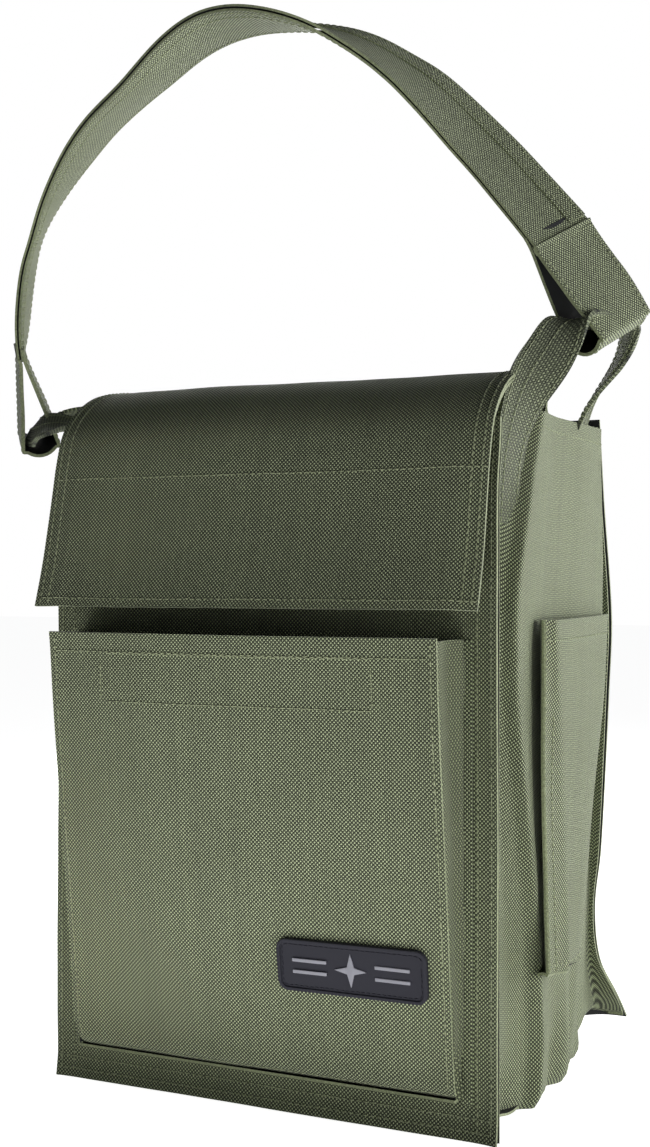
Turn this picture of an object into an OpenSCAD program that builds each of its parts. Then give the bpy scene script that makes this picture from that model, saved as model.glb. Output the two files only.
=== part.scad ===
// Flight bag: an upright box of coarse woven nylon with outward seam flanges, a two-part flap,
// a bellows pocket on the front, a bellows pocket on each side and a folded strap handle that
// hangs from two webbing loops. Millimetres, +Z up, front towards -Y; left and right are
// named as seen from the front, so right is +X.

/* [Bag body] */
// Width of the front and rear panels, flange edge to flange edge
body_w = 240; // [180:5:300]
// Depth between the front and rear seam planes
body_d = 180; // [120:5:230]
// Height of the front panel, bottom flange edge to top edge
panel_h = 332; // [280:2:420]
// How far the side gussets' top edges stand above the front panel
gusset_rise = 8; // [2:1:12]
// How far the rear panel's top edge stands above the front panel
rear_rise = 14; // [8:1:20]
// Thickness of a sewn fabric panel
fabric_t = 1.5; // [1:0.1:2.5]
// Thickness of a single fabric layer, as in gussets and bellows
layer_t = 1.2; // [0.8:0.1:2]
// Width of the seam allowance that stands outside each corner seam
flange_w = 11; // [6:1:16]
// How far a gusset's folds stand out from the corner seam
gusset_bulge = 12; // [8:1:20]
// Height of the bottom panel's side edges above its flat middle
bottom_rise = 10; // [6:1:16]
// How far the rear panel's lower edge is splayed out
rear_splay = 14; // [4:1:22]

/* [Flap] */
// Width of the flap
flap_w = 236; // [170:2:290]
// Thickness of the flap, outer fabric and lining together
flap_t = 2; // [1.5:0.1:3]
// Crown of the flap's top above its chord
flap_crown = 11; // [4:1:18]
// Drop of the flap's front from its fold to the hem
flap_drop = 107; // [80:1:140]
// How far the hem stands forward of the front panel
hem_reach = 25.5; // [16:0.5:40]
// Height of the facing strip sewn inside the hem
facing_h = 62; // [40:1:75]

/* [Front pocket] */
// Width of the pocket's face
pocket_w = 204; // [150:2:230]
// Length of the pocket's face up its slope
pocket_h = 213; // [170:1:225]
// Depth of the pocket at its floor
pocket_floor_d = 8; // [6:0.5:14]
// Slope of the pocket's face when it stands part open, in degrees
pocket_lean = 6.6; // [5.5:0.1:9]
// Height of the pocket's floor above the bottom flange edge
pocket_z = 20; // [14:1:40]
// Width of the hook-and-loop tape in the pocket's mouth
mouth_tape_w = 142; // [100:1:160]
// Height of the hook-and-loop tapes
tape_h = 25; // [20:1:38]

/* [Patch] */
// Width of the rubber patch
patch_w = 74; // [50:1:90]
// Height of the rubber patch
patch_h = 25; // [18:1:32]
// Corner radius of the rubber patch
patch_r = 5; // [2:0.5:8]
// Thickness of the patch's base
patch_t = 1.6; // [1.2:0.1:2.4]
// Height of the raised border and emblem
relief_t = 0.8; // [0.5:0.1:1.2]

/* [Side pockets] */
// Height of each side pocket's face
side_pocket_h = 176; // [140:1:210]
// Width of the face at its mouth
side_mouth_w = 130; // [80:1:136]
// Width of the face at its floor
side_floor_w = 76; // [60:1:110]
// Depth of the pocket at its mouth
side_mouth_d = 9; // [6:0.5:11]
// Depth of the pocket at its floor
side_floor_d = 12; // [8:0.5:16]
// Height of the pocket's floor above the bottom flange edge
side_pocket_z = 62; // [30:1:70]

/* [Handle] */
// Width of the folded strap
strap_w = 44; // [36:1:52]
// Thickness of the folded strap
strap_t = 3.5; // [2.5:0.1:5]
// Width of the webbing in the loops
webbing_w = 25; // [20:1:30]
// Thickness of the webbing
webbing_t = 1.8; // [1.4:0.1:2.4]
// Width of the webbing where it is gathered inside the handle's eye
gathered_w = 13; // [8:1:14]
// Distance from the middle of one root of a webbing loop to the other
loop_spread = 96; // [70:1:100]

/* [Hidden] */

gap = 0.5;                                // clearance between pieces that move apart
half_w = body_w / 2;
half_d = body_d / 2;
front_y = -half_d - fabric_t;             // front face of the front panel
gusset_top = panel_h + gusset_rise;
rear_top = panel_h + rear_rise;
seam_x = half_w - flange_w;               // corner seam, where panel and gusset are sewn
side_x = seam_x + gusset_bulge;           // middle of the gusset's wall
fold_x = side_x + 1;                      // crest of the gusset's vertical folds
outer_x = fold_x + layer_t / 2;           // outermost fabric of a gusset

fold_y = front_y + 23;                    // front fold of the flap
fold_z = panel_h + 19;
hem_y = front_y - hem_reach;
hem_z = fold_z - flap_drop;
hook_y = half_d + fabric_t;               // rear hinge line of the flap
hook_z = rear_top;

pocket_hinge_y = front_y - pocket_floor_d;
side_hinge_x = outer_x + side_floor_d;

loop_y = 3;                               // middle of the webbing loops' roots
swing_z = gusset_top + 5;                 // height of the handle's swing axis
loop_x = outer_x + gap + 1;               // innermost edge of the moving loops

FABRIC = "#6b7253";
SHADE = "#5a6148";
WEBBING = "#767c5e";
THREAD = "#b9c487";
TAPE = "#3f4433";
RUBBER = "#23242c";
RELIEF = "#a9a9b4";

// ---- curves -----------------------------------------------------------------------------
function unit(v) = v / norm(v);
function bezier(p, t) = p[0] * pow(1 - t, 3) + p[1] * 3 * t * pow(1 - t, 2)
    + p[2] * 3 * t * t * (1 - t) + p[3] * pow(t, 3);
function bezier_path(p, n) = [for (i = [0:n]) bezier(p, i / n)];
function arch(a, b, rise, n) = [for (i = [0:n]) let (t = i / n)
    a + (b - a) * t + [0, rise * 4 * t * (1 - t)]];
function left_of(d) = [-d.y, d.x];
function side_dir(p, i) = let (a = unit(p[max(i, 1)] - p[max(i, 1) - 1]),
    b = unit(p[min(i + 1, len(p) - 1)] - p[min(i, len(p) - 2)]),
    n = unit(left_of(a) + left_of(b))) n / max(0.4, n * left_of(a));
function shifted(p, d) = [for (i = [0:len(p) - 1]) p[i] + side_dir(p, i) * d];
function reversed(p) = [for (i = [len(p) - 1:-1:0]) p[i]];

// A strip of thickness t along an open path in the plane, moved sideways by shift.
module strip(path, t, shift = 0) {
    polygon(concat(shifted(path, shift + t / 2), reversed(shifted(path, shift - t / 2))));
}

// Draws a profile given in (Y, Z) and gives it a width along X, centred.
module across(width) {
    rotate([90, 0, 90]) translate([0, 0, -width / 2]) linear_extrude(width) children();
}

// A rectangle with rounded corners, in the plane, centred.
module rounded_plate(w, h, r) {
    hull() {
        for (x = [-1, 1], y = [-1, 1]) {
            translate([x * (w / 2 - r), y * (h / 2 - r)]) circle(r, $fn = 32);
        }
    }
}

// ---- body shell -------------------------------------------------------------------------
module front_panel() {
    color(FABRIC) translate([-half_w, front_y, 0]) cube([body_w, fabric_t, panel_h]);
}

splay_h = 58;                             // height over which the rear panel is splayed
rear_path = concat([for (i = [0:8]) let (t = i / 8)
    [half_d + fabric_t / 2 + rear_splay * pow(1 - t, 2), splay_h * t]],
    [[half_d + fabric_t / 2, rear_top]]);

module rear_panel() {
    color(FABRIC) across(body_w) strip(rear_path, fabric_t);
}

// Plan of the right gusset: front flange, front fold, wall, rear fold and rear flange.
flange_y = half_d - layer_t / 2;
gusset_plan = [[half_w, -flange_y], [seam_x + 0.5, -flange_y], [seam_x + 1, -flange_y + 5],
    [side_x - 3, -flange_y + 19], [fold_x, -flange_y + 32], [side_x, 0],
    [fold_x, flange_y - 32], [side_x - 3, flange_y - 19], [seam_x + 1, flange_y - 5],
    [seam_x + 0.5, flange_y], [half_w, flange_y]];

module side_gusset() {
    notch_y = 10;                         // the front flange stops level with the front panel
    color(FABRIC) difference() {
        translate([0, 0, bottom_rise]) {
            linear_extrude(gusset_top - bottom_rise) strip(gusset_plan, layer_t);
        }
        translate([seam_x - 5, -half_d - 1, panel_h]) {
            cube([flange_w + gusset_bulge, notch_y + 1, gusset_rise + 1]);
        }
    }
}

module side_gusset_right() { side_gusset(); }
module side_gusset_left() { mirror([1, 0, 0]) side_gusset(); }

// The bottom panel lies flat in the middle and rises to the side seams.
module bottom_panel() {
    flat_x = seam_x - 14;
    path = [[-side_x, bottom_rise - layer_t], [-flat_x, layer_t / 2], [flat_x, layer_t / 2],
        [side_x, bottom_rise - layer_t]];
    color(SHADE) rotate([90, 0, 0]) translate([0, 0, -half_d + layer_t]) {
        linear_extrude(body_d - 2 * layer_t) strip(path, layer_t);
    }
}

// ---- flap -------------------------------------------------------------------------------
fold_gap = 0.15;                          // half the slit between the flap's two parts
top_path = arch([hook_y - 2, hook_z + 1], [fold_y + fold_gap, fold_z], flap_crown, 16);
front_path = bezier_path([[fold_y - fold_gap, fold_z], [fold_y - 31.5, fold_z],
    [fold_y - 31.5, fold_z - 46], [hem_y, hem_z]], 14);
facing_path = [for (p = front_path) if (p.y < hem_z + facing_h) p];
tape_path = [for (p = facing_path) if (p.y > hem_z + 7 && p.y < hem_z + 7 + tape_h * 1.6) p];

module flap_top() {
    color(FABRIC) across(flap_w) strip(top_path, flap_t);
}

module flap_front() {
    color(FABRIC) across(flap_w) strip(front_path, flap_t);
}

module flap_facing() {
    color(SHADE) across(flap_w - 6) strip(facing_path, layer_t, (flap_t + layer_t) / 2);
}

module flap_hook_tape() {
    color(TAPE) across(flap_w - 40) strip(tape_path, fabric_t, flap_t / 2 + layer_t + fabric_t / 2);
}

module panel_loop_tape() {
    tape_w = flap_w - 50;
    color(TAPE) translate([-tape_w / 2, front_y - fabric_t, hem_z + 12]) {
        cube([tape_w, fabric_t, tape_h * 1.6]);
    }
}

// ---- front pocket -----------------------------------------------------------------------
// Places children on the pocket's face: local Z runs up the face, local -Y out of it.
module on_pocket() {
    translate([0, pocket_hinge_y, pocket_z]) rotate([pocket_lean, 0, 0]) children();
}

shut_lean = 2.2;                          // slope of the face when pressed shut, in degrees
bellows_z = 1.5;                          // bellows start this far above the floor
back_bellows_x = pocket_w / 2 - 5;
front_bellows_x = pocket_w / 2 - 2.5;

module front_pocket_face() {
    color(FABRIC) on_pocket() translate([-pocket_w / 2, -fabric_t, 0]) {
        cube([pocket_w, fabric_t, pocket_h]);
    }
}

module front_pocket_floor() {
    color(SHADE) translate([-pocket_w / 2, pocket_hinge_y + 0.3, pocket_z - layer_t]) {
        cube([pocket_w, pocket_floor_d - 0.3, layer_t]);
    }
}

// The half of a side bellows that is sewn to the front panel.
module bellows_back() {
    top_d = pocket_floor_d + (pocket_h - 4) * sin(shut_lean) - 1.5;
    color(SHADE) translate([back_bellows_x, front_y, pocket_z]) across(layer_t) {
        polygon([[0, bellows_z], [0, pocket_h - 4], [-top_d, pocket_h - 4],
            [-pocket_floor_d + 1.2, bellows_z]]);
    }
}

// The half of a side bellows that is sewn to the pocket's face.
module bellows_front() {
    top_d = pocket_floor_d + (pocket_h - 4) * sin(shut_lean) - 2;
    color(SHADE) on_pocket() translate([front_bellows_x, 0, 0]) across(layer_t) {
        polygon([[0, bellows_z], [0, pocket_h - 2], [top_d, pocket_h - 2],
            [pocket_floor_d - 1.5, bellows_z]]);
    }
}

module bellows_back_right() { bellows_back(); }
module bellows_back_left() { mirror([1, 0, 0]) bellows_back(); }
module bellows_front_right() { bellows_front(); }
module bellows_front_left() { mirror([1, 0, 0]) bellows_front(); }

tape_drop = 8;                            // from the pocket's mouth to the tape's upper edge

module mouth_hook_tape() {
    color(TAPE) on_pocket() {
        translate([-mouth_tape_w / 2, 0, pocket_h - tape_drop - tape_h]) {
            cube([mouth_tape_w, fabric_t, tape_h]);
        }
    }
}

module mouth_loop_tape() {
    top = pocket_z + pocket_h * cos(pocket_lean) - tape_drop;
    color(TAPE) translate([-mouth_tape_w / 2, front_y - fabric_t, top - tape_h]) {
        cube([mouth_tape_w, fabric_t, tape_h]);
    }
}

// ---- rubber patch -----------------------------------------------------------------------
// Places children on the patch's back, centred, with local Z out of the pocket's face.
module on_patch() {
    on_pocket() translate([pocket_w / 2 - patch_w / 2 - 10, -fabric_t, 58]) {
        rotate([90, 0, 0]) children();
    }
}

module rubber_patch() {
    border = 1.6;
    color(RUBBER) on_patch() {
        linear_extrude(patch_t) rounded_plate(patch_w, patch_h, patch_r);
        translate([0, 0, patch_t]) linear_extrude(relief_t) difference() {
            rounded_plate(patch_w, patch_h, patch_r);
            rounded_plate(patch_w - 2 * border, patch_h - 2 * border, patch_r - border);
        }
    }
}

// A plain four-point star between two pairs of bars.
module patch_emblem() {
    star_r = patch_h * 0.32;
    star_waist = star_r * 0.3;
    bar_w = patch_w / 2 - star_r - 12;
    color(RELIEF) on_patch() translate([0, 0, patch_t]) linear_extrude(relief_t) {
        polygon([for (i = [0:7]) let (r = i % 2 == 0 ? star_r : star_waist)
            [r * cos(i * 45), r * sin(i * 45)]]);
        for (s = [-1, 1], k = [-1, 1]) {
            translate([s * (star_r + 4 + bar_w / 2), k * star_r * 0.35]) {
                square([bar_w, 1.6], center = true);
            }
        }
    }
}

// ---- side pockets -----------------------------------------------------------------------
side_y = 16;                              // middle of the pocket's mouth
side_floor_y = side_y - 19;
side_lean = atan((side_floor_d - side_mouth_d) / side_pocket_h);

// Places children on the right pocket's face: local Z up the face, local X out of it.
module on_side_pocket() {
    translate([side_hinge_x, 0, side_pocket_z]) rotate([0, -side_lean, 0]) children();
}

module side_pocket_face() {
    color(FABRIC) on_side_pocket() rotate([90, 0, 90]) linear_extrude(layer_t) {
        polygon([[side_floor_y - side_floor_w / 2, 0], [side_floor_y + side_floor_w / 2, 0],
            [side_y + side_mouth_w / 2, side_pocket_h], [side_y - side_mouth_w / 2, side_pocket_h]]);
    }
}

// The bellows of a side pocket: a wall under each edge of the face and a floor.
module side_pocket_bellows() {
    inset = 3;
    wall_top = side_pocket_h - 3;
    reach_floor = side_floor_d - gap;
    reach_mouth = side_mouth_d - gap;
    color(SHADE) translate([outer_x, 0, side_pocket_z]) {
        for (s = [-1, 1]) {
            y0 = side_floor_y + s * (side_floor_w / 2 - inset);
            y1 = side_y + s * (side_mouth_w / 2 - inset);
            tilt = atan((y1 - y0) / wall_top);
            translate([0, y0, 0]) rotate([-tilt, 0, 0]) translate([0, layer_t / 2, 0]) {
                rotate([90, 0, 0]) linear_extrude(layer_t) {
                    polygon([[0, 2], [reach_floor, 2], [reach_mouth, wall_top], [0, wall_top]]);
                }
            }
        }
        translate([0, side_floor_y - side_floor_w / 2, -layer_t]) {
            cube([side_floor_d - gap, side_floor_w, layer_t]);
        }
    }
}

module side_pocket_face_right() { side_pocket_face(); }
module side_pocket_face_left() { mirror([1, 0, 0]) side_pocket_face(); }
module side_pocket_bellows_right() { side_pocket_bellows(); }
module side_pocket_bellows_left() { mirror([1, 0, 0]) side_pocket_bellows(); }

// ---- handle -----------------------------------------------------------------------------
// The strap's centre line from the right seam to the left seam, and at each point the
// direction of its width: its slope upwards and its turn from the Y axis, in degrees.
strap_line = [[half_w + 10, -21, gusset_top + 84], [half_w - 27, -31, gusset_top + 130],
    [half_w - 64, -48, gusset_top + 169], [16, -63, gusset_top + 192],
    [-33, -74, gusset_top + 197], [-half_w + 36, -64, gusset_top + 177],
    [-half_w - 11, -53, gusset_top + 150], [-half_w - 47, -48, gusset_top + 102],
    [-half_w - 61, -41, gusset_top + 42]];
strap_turns = [[21, 27], [11, 25], [4, 22], [4, 19], [4, 6], [18, 9], [27, 4], [45, -14], [59, -31]];
// Where the strap's ends turn back round the webbing, below each seam.
right_eye = [half_w + 27, -8, gusset_top + 46];
left_eye = [-half_w - 63, -24, gusset_top + 4];

function catmull(p, i, t) = let (a = p[max(i - 1, 0)], b = p[i], c = p[i + 1],
    d = p[min(i + 2, len(p) - 1)])
    0.5 * (2 * b + (c - a) * t + (2 * a - 5 * b + 4 * c - d) * t * t
    + (3 * b - 3 * c + d - a) * pow(t, 3));
function along(p, s) = let (i = min(floor(s), len(p) - 2)) catmull(p, i, s - i);
function width_dir(a) = [sin(a.y) * cos(a.x), cos(a.y) * cos(a.x), sin(a.x)];

strap_steps = 36;
function strap_at(k) = along(strap_line, k / strap_steps * (len(strap_line) - 1));
function strap_frame(k) = let (c = strap_at(k),
    t = unit(strap_at(min(k + 0.5, strap_steps)) - strap_at(max(k - 0.5, 0))),
    w0 = width_dir(along(strap_turns, k / strap_steps * (len(strap_turns) - 1))),
    w = unit(w0 - t * (w0 * t))) [c, t, w, cross(t, w)];
function corners(f, w, t) = [for (s = [[-1, -1], [1, -1], [1, 1], [-1, 1]])
    f[0] + f[2] * s.x * w / 2 + f[3] * s.y * t / 2];

// A closed rectangular bar through a list of four-cornered rings.
module ring_bar(rings) {
    n = len(rings);
    polyhedron([for (r = rings) each r], concat([[0, 1, 2, 3]], [[for (j = [3:-1:0]) (n - 1) * 4 + j]],
        [for (i = [0:n - 2], j = [0:3]) [i * 4 + j, i * 4 + 4 + j, i * 4 + (j + 1) % 4]],
        [for (i = [0:n - 2], j = [0:3]) [i * 4 + (j + 1) % 4, i * 4 + 4 + j,
            i * 4 + 4 + (j + 1) % 4]]));
}

// Places children at an end of the strap: local X along the strap's thickness, local Y up the
// strap, local Z along its width.
module at_eye(eye, seam, w0) {
    up = unit(seam - eye);
    w = unit(w0 - up * (w0 * up));
    n = cross(up, w);
    multmatrix([[n.x, up.x, w.x, eye.x], [n.y, up.y, w.y, eye.y], [n.z, up.z, w.z, eye.z], [0, 0, 0, 1]]) {
        children();
    }
}

// The turned-back end of the strap: a drop-shaped eye that the webbing runs through.
module strap_eye(length) {
    eye_r = webbing_w / 2 - 1;
    wall = strap_t * 0.6;
    tip = length - eye_r;
    linear_extrude(strap_w, center = true) difference() {
        hull() {
            circle(eye_r, $fn = 48);
            translate([0, tip]) square([strap_t, 1], center = true);
        }
        hull() {
            circle(eye_r - wall, $fn = 48);
            translate([0, tip - 10]) square([0.6, 1], center = true);
        }
    }
}

right_w = strap_frame(0)[2];
left_w = strap_frame(strap_steps)[2];
right_drop = norm(strap_line[0] - right_eye);
left_drop = norm(strap_line[len(strap_line) - 1] - left_eye);

module handle_strap() {
    eye_r = webbing_w / 2 - 1;
    color(FABRIC) {
        ring_bar([for (k = [0:strap_steps]) corners(strap_frame(k), strap_w, strap_t)]);
        at_eye(right_eye, strap_line[0], right_w) strap_eye(right_drop + eye_r);
        at_eye(left_eye, strap_line[len(strap_line) - 1], left_w) strap_eye(left_drop + eye_r);
    }
}

// The tack that closes an eye: a band of stitches on each face of the strap, at step k.
module handle_tack(k) {
    f = strap_frame(k);
    thread_t = 0.8;
    color(THREAD) {
        multmatrix([[f[3].x, f[1].x, f[2].x, f[0].x], [f[3].y, f[1].y, f[2].y, f[0].y],
            [f[3].z, f[1].z, f[2].z, f[0].z], [0, 0, 0, 1]]) {
            for (s = [-1, 1]) {
                translate([s * (strap_t / 2 + thread_t / 2 + 0.25), 0, 0]) {
                    cube([thread_t, 4, strap_w - 6], center = true);
                }
            }
        }
    }
}

module handle_tack_right() { handle_tack(1); }
module handle_tack_left() { handle_tack(strap_steps - 1); }

// ---- webbing loops ----------------------------------------------------------------------
// Rings across the webbing; each point of the path is [centre, direction of width, width]. The
// webbing gets thicker where it is gathered.
function web_path(path) = [for (i = [0:len(path) - 1]) let (c = path[i][0], w = unit(path[i][1]),
    t = unit(path[min(i + 1, len(path) - 1)][0] - path[max(i - 1, 0)][0]),
    v = unit(w - t * (w * t)))
    corners([c, t, v, cross(t, v)], path[i][2], webbing_t * sqrt(webbing_w / path[i][2]))];

// A loop from its front root through the eye to its rear root; side is 1 right, -1 left, and
// front_w is the direction of the webbing's width at its front root.
module webbing_loop(side, eye, w0, eye_up, front_w) {
    root_x = loop_x + webbing_w / 2;
    front = [side * root_x, loop_y - loop_spread / 2, swing_z];
    rear = [side * root_x, loop_y + loop_spread / 2, swing_z];
    mouth_gap = 7;                        // the webbing turns this far outside the eye
    rest = eye + eye_up * 3;
    through = unit(w0 - eye_up * (w0 * eye_up));
    mouth_f = rest - through * (strap_w / 2 + mouth_gap);
    mouth_r = rest + through * (strap_w / 2 + mouth_gap);
    flat = cross(through, eye_up) * side;
    rear_w = [side, 0, 0];
    half_w = (webbing_w + gathered_w) / 2;
    points = [[front, front_w, webbing_w], [(front + mouth_f) / 2, front_w + flat, half_w],
        [mouth_f, flat, gathered_w], [rest, flat, gathered_w], [mouth_r, flat, gathered_w],
        [(rear + mouth_r) / 2, rear_w + flat, half_w], [rear, rear_w, webbing_w]];
    color(WEBBING) ring_bar(web_path(points));
}

// The loop's two sewn ends, flat against the inside of the gusset below its top edge.
module webbing_ends(side) {
    sewn_h = 30;
    for (y = [-1, 1]) {
        color(WEBBING) translate([side * (side_x - 3) - webbing_t / 2,
            loop_y + y * loop_spread / 2 - webbing_w / 2, gusset_top - sewn_h]) {
            cube([webbing_t, webbing_w, sewn_h + 3]);
        }
    }
}

right_up = unit(strap_line[0] - right_eye);
left_up = unit(strap_line[len(strap_line) - 1] - left_eye);

module webbing_loop_right() { webbing_loop(1, right_eye, right_w, right_up, [1, 0, 0]); }
module webbing_loop_left() { webbing_loop(-1, left_eye, left_w, left_up, [0, -1, 0]); }
module webbing_ends_right() { webbing_ends(1); }
module webbing_ends_left() { webbing_ends(-1); }

front_panel();
rear_panel();
side_gusset_left();
side_gusset_right();
bottom_panel();
flap_top();
flap_front();
flap_facing();
flap_hook_tape();
panel_loop_tape();
front_pocket_face();
front_pocket_floor();
bellows_back_left();
bellows_back_right();
bellows_front_left();
bellows_front_right();
mouth_hook_tape();
mouth_loop_tape();
rubber_patch();
patch_emblem();
side_pocket_face_left();
side_pocket_face_right();
side_pocket_bellows_left();
side_pocket_bellows_right();
webbing_loop_left();
webbing_loop_right();
webbing_ends_left();
webbing_ends_right();
handle_strap();
handle_tack_left();
handle_tack_right();
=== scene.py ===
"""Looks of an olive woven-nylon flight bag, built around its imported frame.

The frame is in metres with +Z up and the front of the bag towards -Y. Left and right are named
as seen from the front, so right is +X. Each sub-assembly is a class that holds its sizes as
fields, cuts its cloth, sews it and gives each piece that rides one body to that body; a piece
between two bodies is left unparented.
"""

import logging
import math
import random
from dataclasses import dataclass, field
from enum import Enum
from typing import Callable, Dict, List, Optional, Sequence, Tuple

import bpy
import numpy as np
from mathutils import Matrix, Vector, noise


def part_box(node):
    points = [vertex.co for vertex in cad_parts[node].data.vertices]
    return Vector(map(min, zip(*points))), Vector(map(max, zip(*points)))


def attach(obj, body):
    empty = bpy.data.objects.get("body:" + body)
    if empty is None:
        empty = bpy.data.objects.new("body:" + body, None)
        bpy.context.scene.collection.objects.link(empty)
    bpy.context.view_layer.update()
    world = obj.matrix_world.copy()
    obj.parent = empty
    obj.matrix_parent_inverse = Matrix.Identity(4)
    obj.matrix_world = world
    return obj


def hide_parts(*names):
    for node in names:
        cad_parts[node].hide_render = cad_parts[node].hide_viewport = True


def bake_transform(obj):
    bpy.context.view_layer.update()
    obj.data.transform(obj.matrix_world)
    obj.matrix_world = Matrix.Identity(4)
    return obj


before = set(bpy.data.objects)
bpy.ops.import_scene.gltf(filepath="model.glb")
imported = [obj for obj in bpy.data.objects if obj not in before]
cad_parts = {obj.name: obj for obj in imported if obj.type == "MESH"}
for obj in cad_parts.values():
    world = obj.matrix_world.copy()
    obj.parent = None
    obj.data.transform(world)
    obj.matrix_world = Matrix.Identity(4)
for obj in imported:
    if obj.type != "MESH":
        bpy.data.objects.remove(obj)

LOG = logging.getLogger("flight_bag")
THIN_CLOTH = 0.0012
STIFF_CLOTH = 0.0014
Point = Tuple[float, float, float]
Place = Callable[[float, float], Vector]
Run = Tuple[np.ndarray, np.ndarray]


# ---- numbers and curves -------------------------------------------------------------------
def clamp(value: float, low: float = 0.0, high: float = 1.0) -> float:
    """Returns value, kept between low and high."""
    return max(low, min(high, value))


def ease(t: float) -> float:
    """Returns a smooth step from 0 at t = 0 to 1 at t = 1."""
    t = clamp(t)
    return t * t * (3 - 2 * t)


def mix(a: float, b: float, t: float) -> float:
    """Returns the value a share t of the way from a to b."""
    return a + (b - a) * t


def table(rows: Sequence[Tuple[float, float]], at: float) -> float:
    """Reads a smooth curve through a few (position, value) rows.

    Args:
        rows: the positions, rising, each with its value.
        at: where the curve is read.

    Returns:
        The value there, flat beyond both ends.
    """
    if at <= rows[0][0]:
        return rows[0][1]
    for i in range(len(rows) - 1):
        (x0, y0), (x1, y1) = rows[i], rows[i + 1]
        if at <= x1:
            before = rows[max(i - 1, 0)]
            after = rows[min(i + 2, len(rows) - 1)]
            slope0 = (y1 - before[1]) / max(x1 - before[0], 1e-9)
            slope1 = (after[1] - y0) / max(after[0] - x0, 1e-9)
            w, t = x1 - x0, (at - x0) / (x1 - x0)
            return ((2 * t**3 - 3 * t**2 + 1) * y0 + (t**3 - 2 * t**2 + t) * w * slope0
                    + (3 * t**2 - 2 * t**3) * y1 + (t**3 - t**2) * w * slope1)
    return rows[-1][1]


def ripple(x: float, z: float, seed: float, size: float, height: float) -> float:
    """Returns a gentle, repeatable unevenness of the given size and height at (x, z)."""
    return height * noise.noise(Vector((x / size, z / size, seed)))


class Line:
    """An open line through points in space, read by its length."""

    def __init__(self, points: Sequence[Vector]) -> None:
        """Keeps the points and the length from the first to each of them."""
        self.points = [Vector(p) for p in points]
        self.marks = [0.0]
        for a, b in zip(self.points, self.points[1:]):
            self.marks.append(self.marks[-1] + (b - a).length)
        self.length = self.marks[-1]

    @classmethod
    def curve(cls, points: Sequence[Vector], steps: int = 12) -> "Line":
        """Makes a smooth line through a few points.

        Args:
            points: the points it goes through.
            steps: how many pieces each stretch is cut into.

        Returns:
            The line.
        """
        pts = [Vector(p) for p in points]
        out = []
        for i in range(len(pts) - 1):
            for k in range(steps):
                out.append(catmull(pts, i, k / steps))
        return cls(out + [pts[-1]])

    def at(self, s: float) -> Vector:
        """Returns the point at length s, carried on straight past either end."""
        i = int(np.searchsorted(self.marks, s)) - 1
        i = max(0, min(i, len(self.points) - 2))
        a, b = self.points[i], self.points[i + 1]
        span = max(self.marks[i + 1] - self.marks[i], 1e-9)
        return a + (b - a) * ((s - self.marks[i]) / span)

    def soft(self, s: float, radius: float) -> Vector:
        """Returns the point at length s of the line with its corners rounded to a radius."""
        total = Vector()
        for k in (-1.0, -0.5, 0.0, 0.5, 1.0):
            total += self.at(s + k * radius)
        return total / 5


def catmull(points: Sequence, i: int, t: float):
    """Returns the point a share t of the way from point i to the next on a smooth curve."""
    a, b = points[max(i - 1, 0)], points[i]
    c, d = points[i + 1], points[min(i + 2, len(points) - 1)]
    return 0.5 * (2 * b + (c - a) * t + (2 * a - 5 * b + 4 * c - d) * t**2
                  + (3 * b - 3 * c + d - a) * t**3)


def smooth(points: Sequence, s: float):
    """Returns the smooth curve's point s stretches along, each from one point to the next."""
    i = min(int(s), len(points) - 2)
    return catmull(points, i, s - i)


# ---- finishes -----------------------------------------------------------------------------
class Graph:
    """Adds nodes to one node tree and links them."""

    def __init__(self, tree: bpy.types.NodeTree) -> None:
        """Keeps the tree."""
        self.tree = tree

    def add(self, kind: str, inputs: Optional[dict] = None, **settings) -> bpy.types.Node:
        """Adds a node.

        Args:
            kind: the node's type.
            inputs: each input's value, or the socket that feeds it.
            settings: the node's own settings.

        Returns:
            The node.
        """
        node = self.tree.nodes.new(kind)
        for key, value in settings.items():
            setattr(node, key, value)
        for key, value in (inputs or {}).items():
            if isinstance(value, bpy.types.NodeSocket):
                self.tree.links.new(value, node.inputs[key])
            else:
                node.inputs[key].default_value = value
        return node

    def math(self, operation: str, a, b=0.0, c=0.0) -> bpy.types.NodeSocket:
        """Returns the socket of a Math node of a, b and c."""
        return self.add("ShaderNodeMath", {0: a, 1: b, 2: c}, operation=operation).outputs[0]

    def blend(self, kind: str, factor, a, b) -> bpy.types.NodeSocket:
        """Returns the colour socket of a Mix node of two colours."""
        node = self.add("ShaderNodeMix", data_type="RGBA", blend_type=kind)
        for index, value in ((0, factor), (6, a), (7, b)):
            if isinstance(value, bpy.types.NodeSocket):
                self.tree.links.new(value, node.inputs[index])
            else:
                node.inputs[index].default_value = value
        return node.outputs[2]

    def spread(self, value, low: float, high: float, to_low: float, to_high: float):
        """Returns value, moved from the range low-high to another range and kept in it."""
        return self.add("ShaderNodeMapRange", {"Value": value, "From Min": low,
                        "From Max": high, "To Min": to_low, "To Max": to_high}).outputs[0]


def rgba(colour: Point) -> Tuple[float, float, float, float]:
    """Returns a colour with full alpha."""
    return (*colour, 1.0)


def new_group(name: str, inputs: Dict[str, str], outputs: Dict[str, str]) -> Tuple:
    """Makes an empty shader node group.

    Args:
        name: the group's name.
        inputs: each input's name and socket type.
        outputs: each output's name and socket type.

    Returns:
        The group, its graph, its input node and its output node.
    """
    group = bpy.data.node_groups.new(name, "ShaderNodeTree")
    for direction, sockets in (("INPUT", inputs), ("OUTPUT", outputs)):
        for key, kind in sockets.items():
            group.interface.new_socket(key, in_out=direction, socket_type=kind)
    graph = Graph(group)
    return group, graph, graph.add("NodeGroupInput"), graph.add("NodeGroupOutput")


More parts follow.
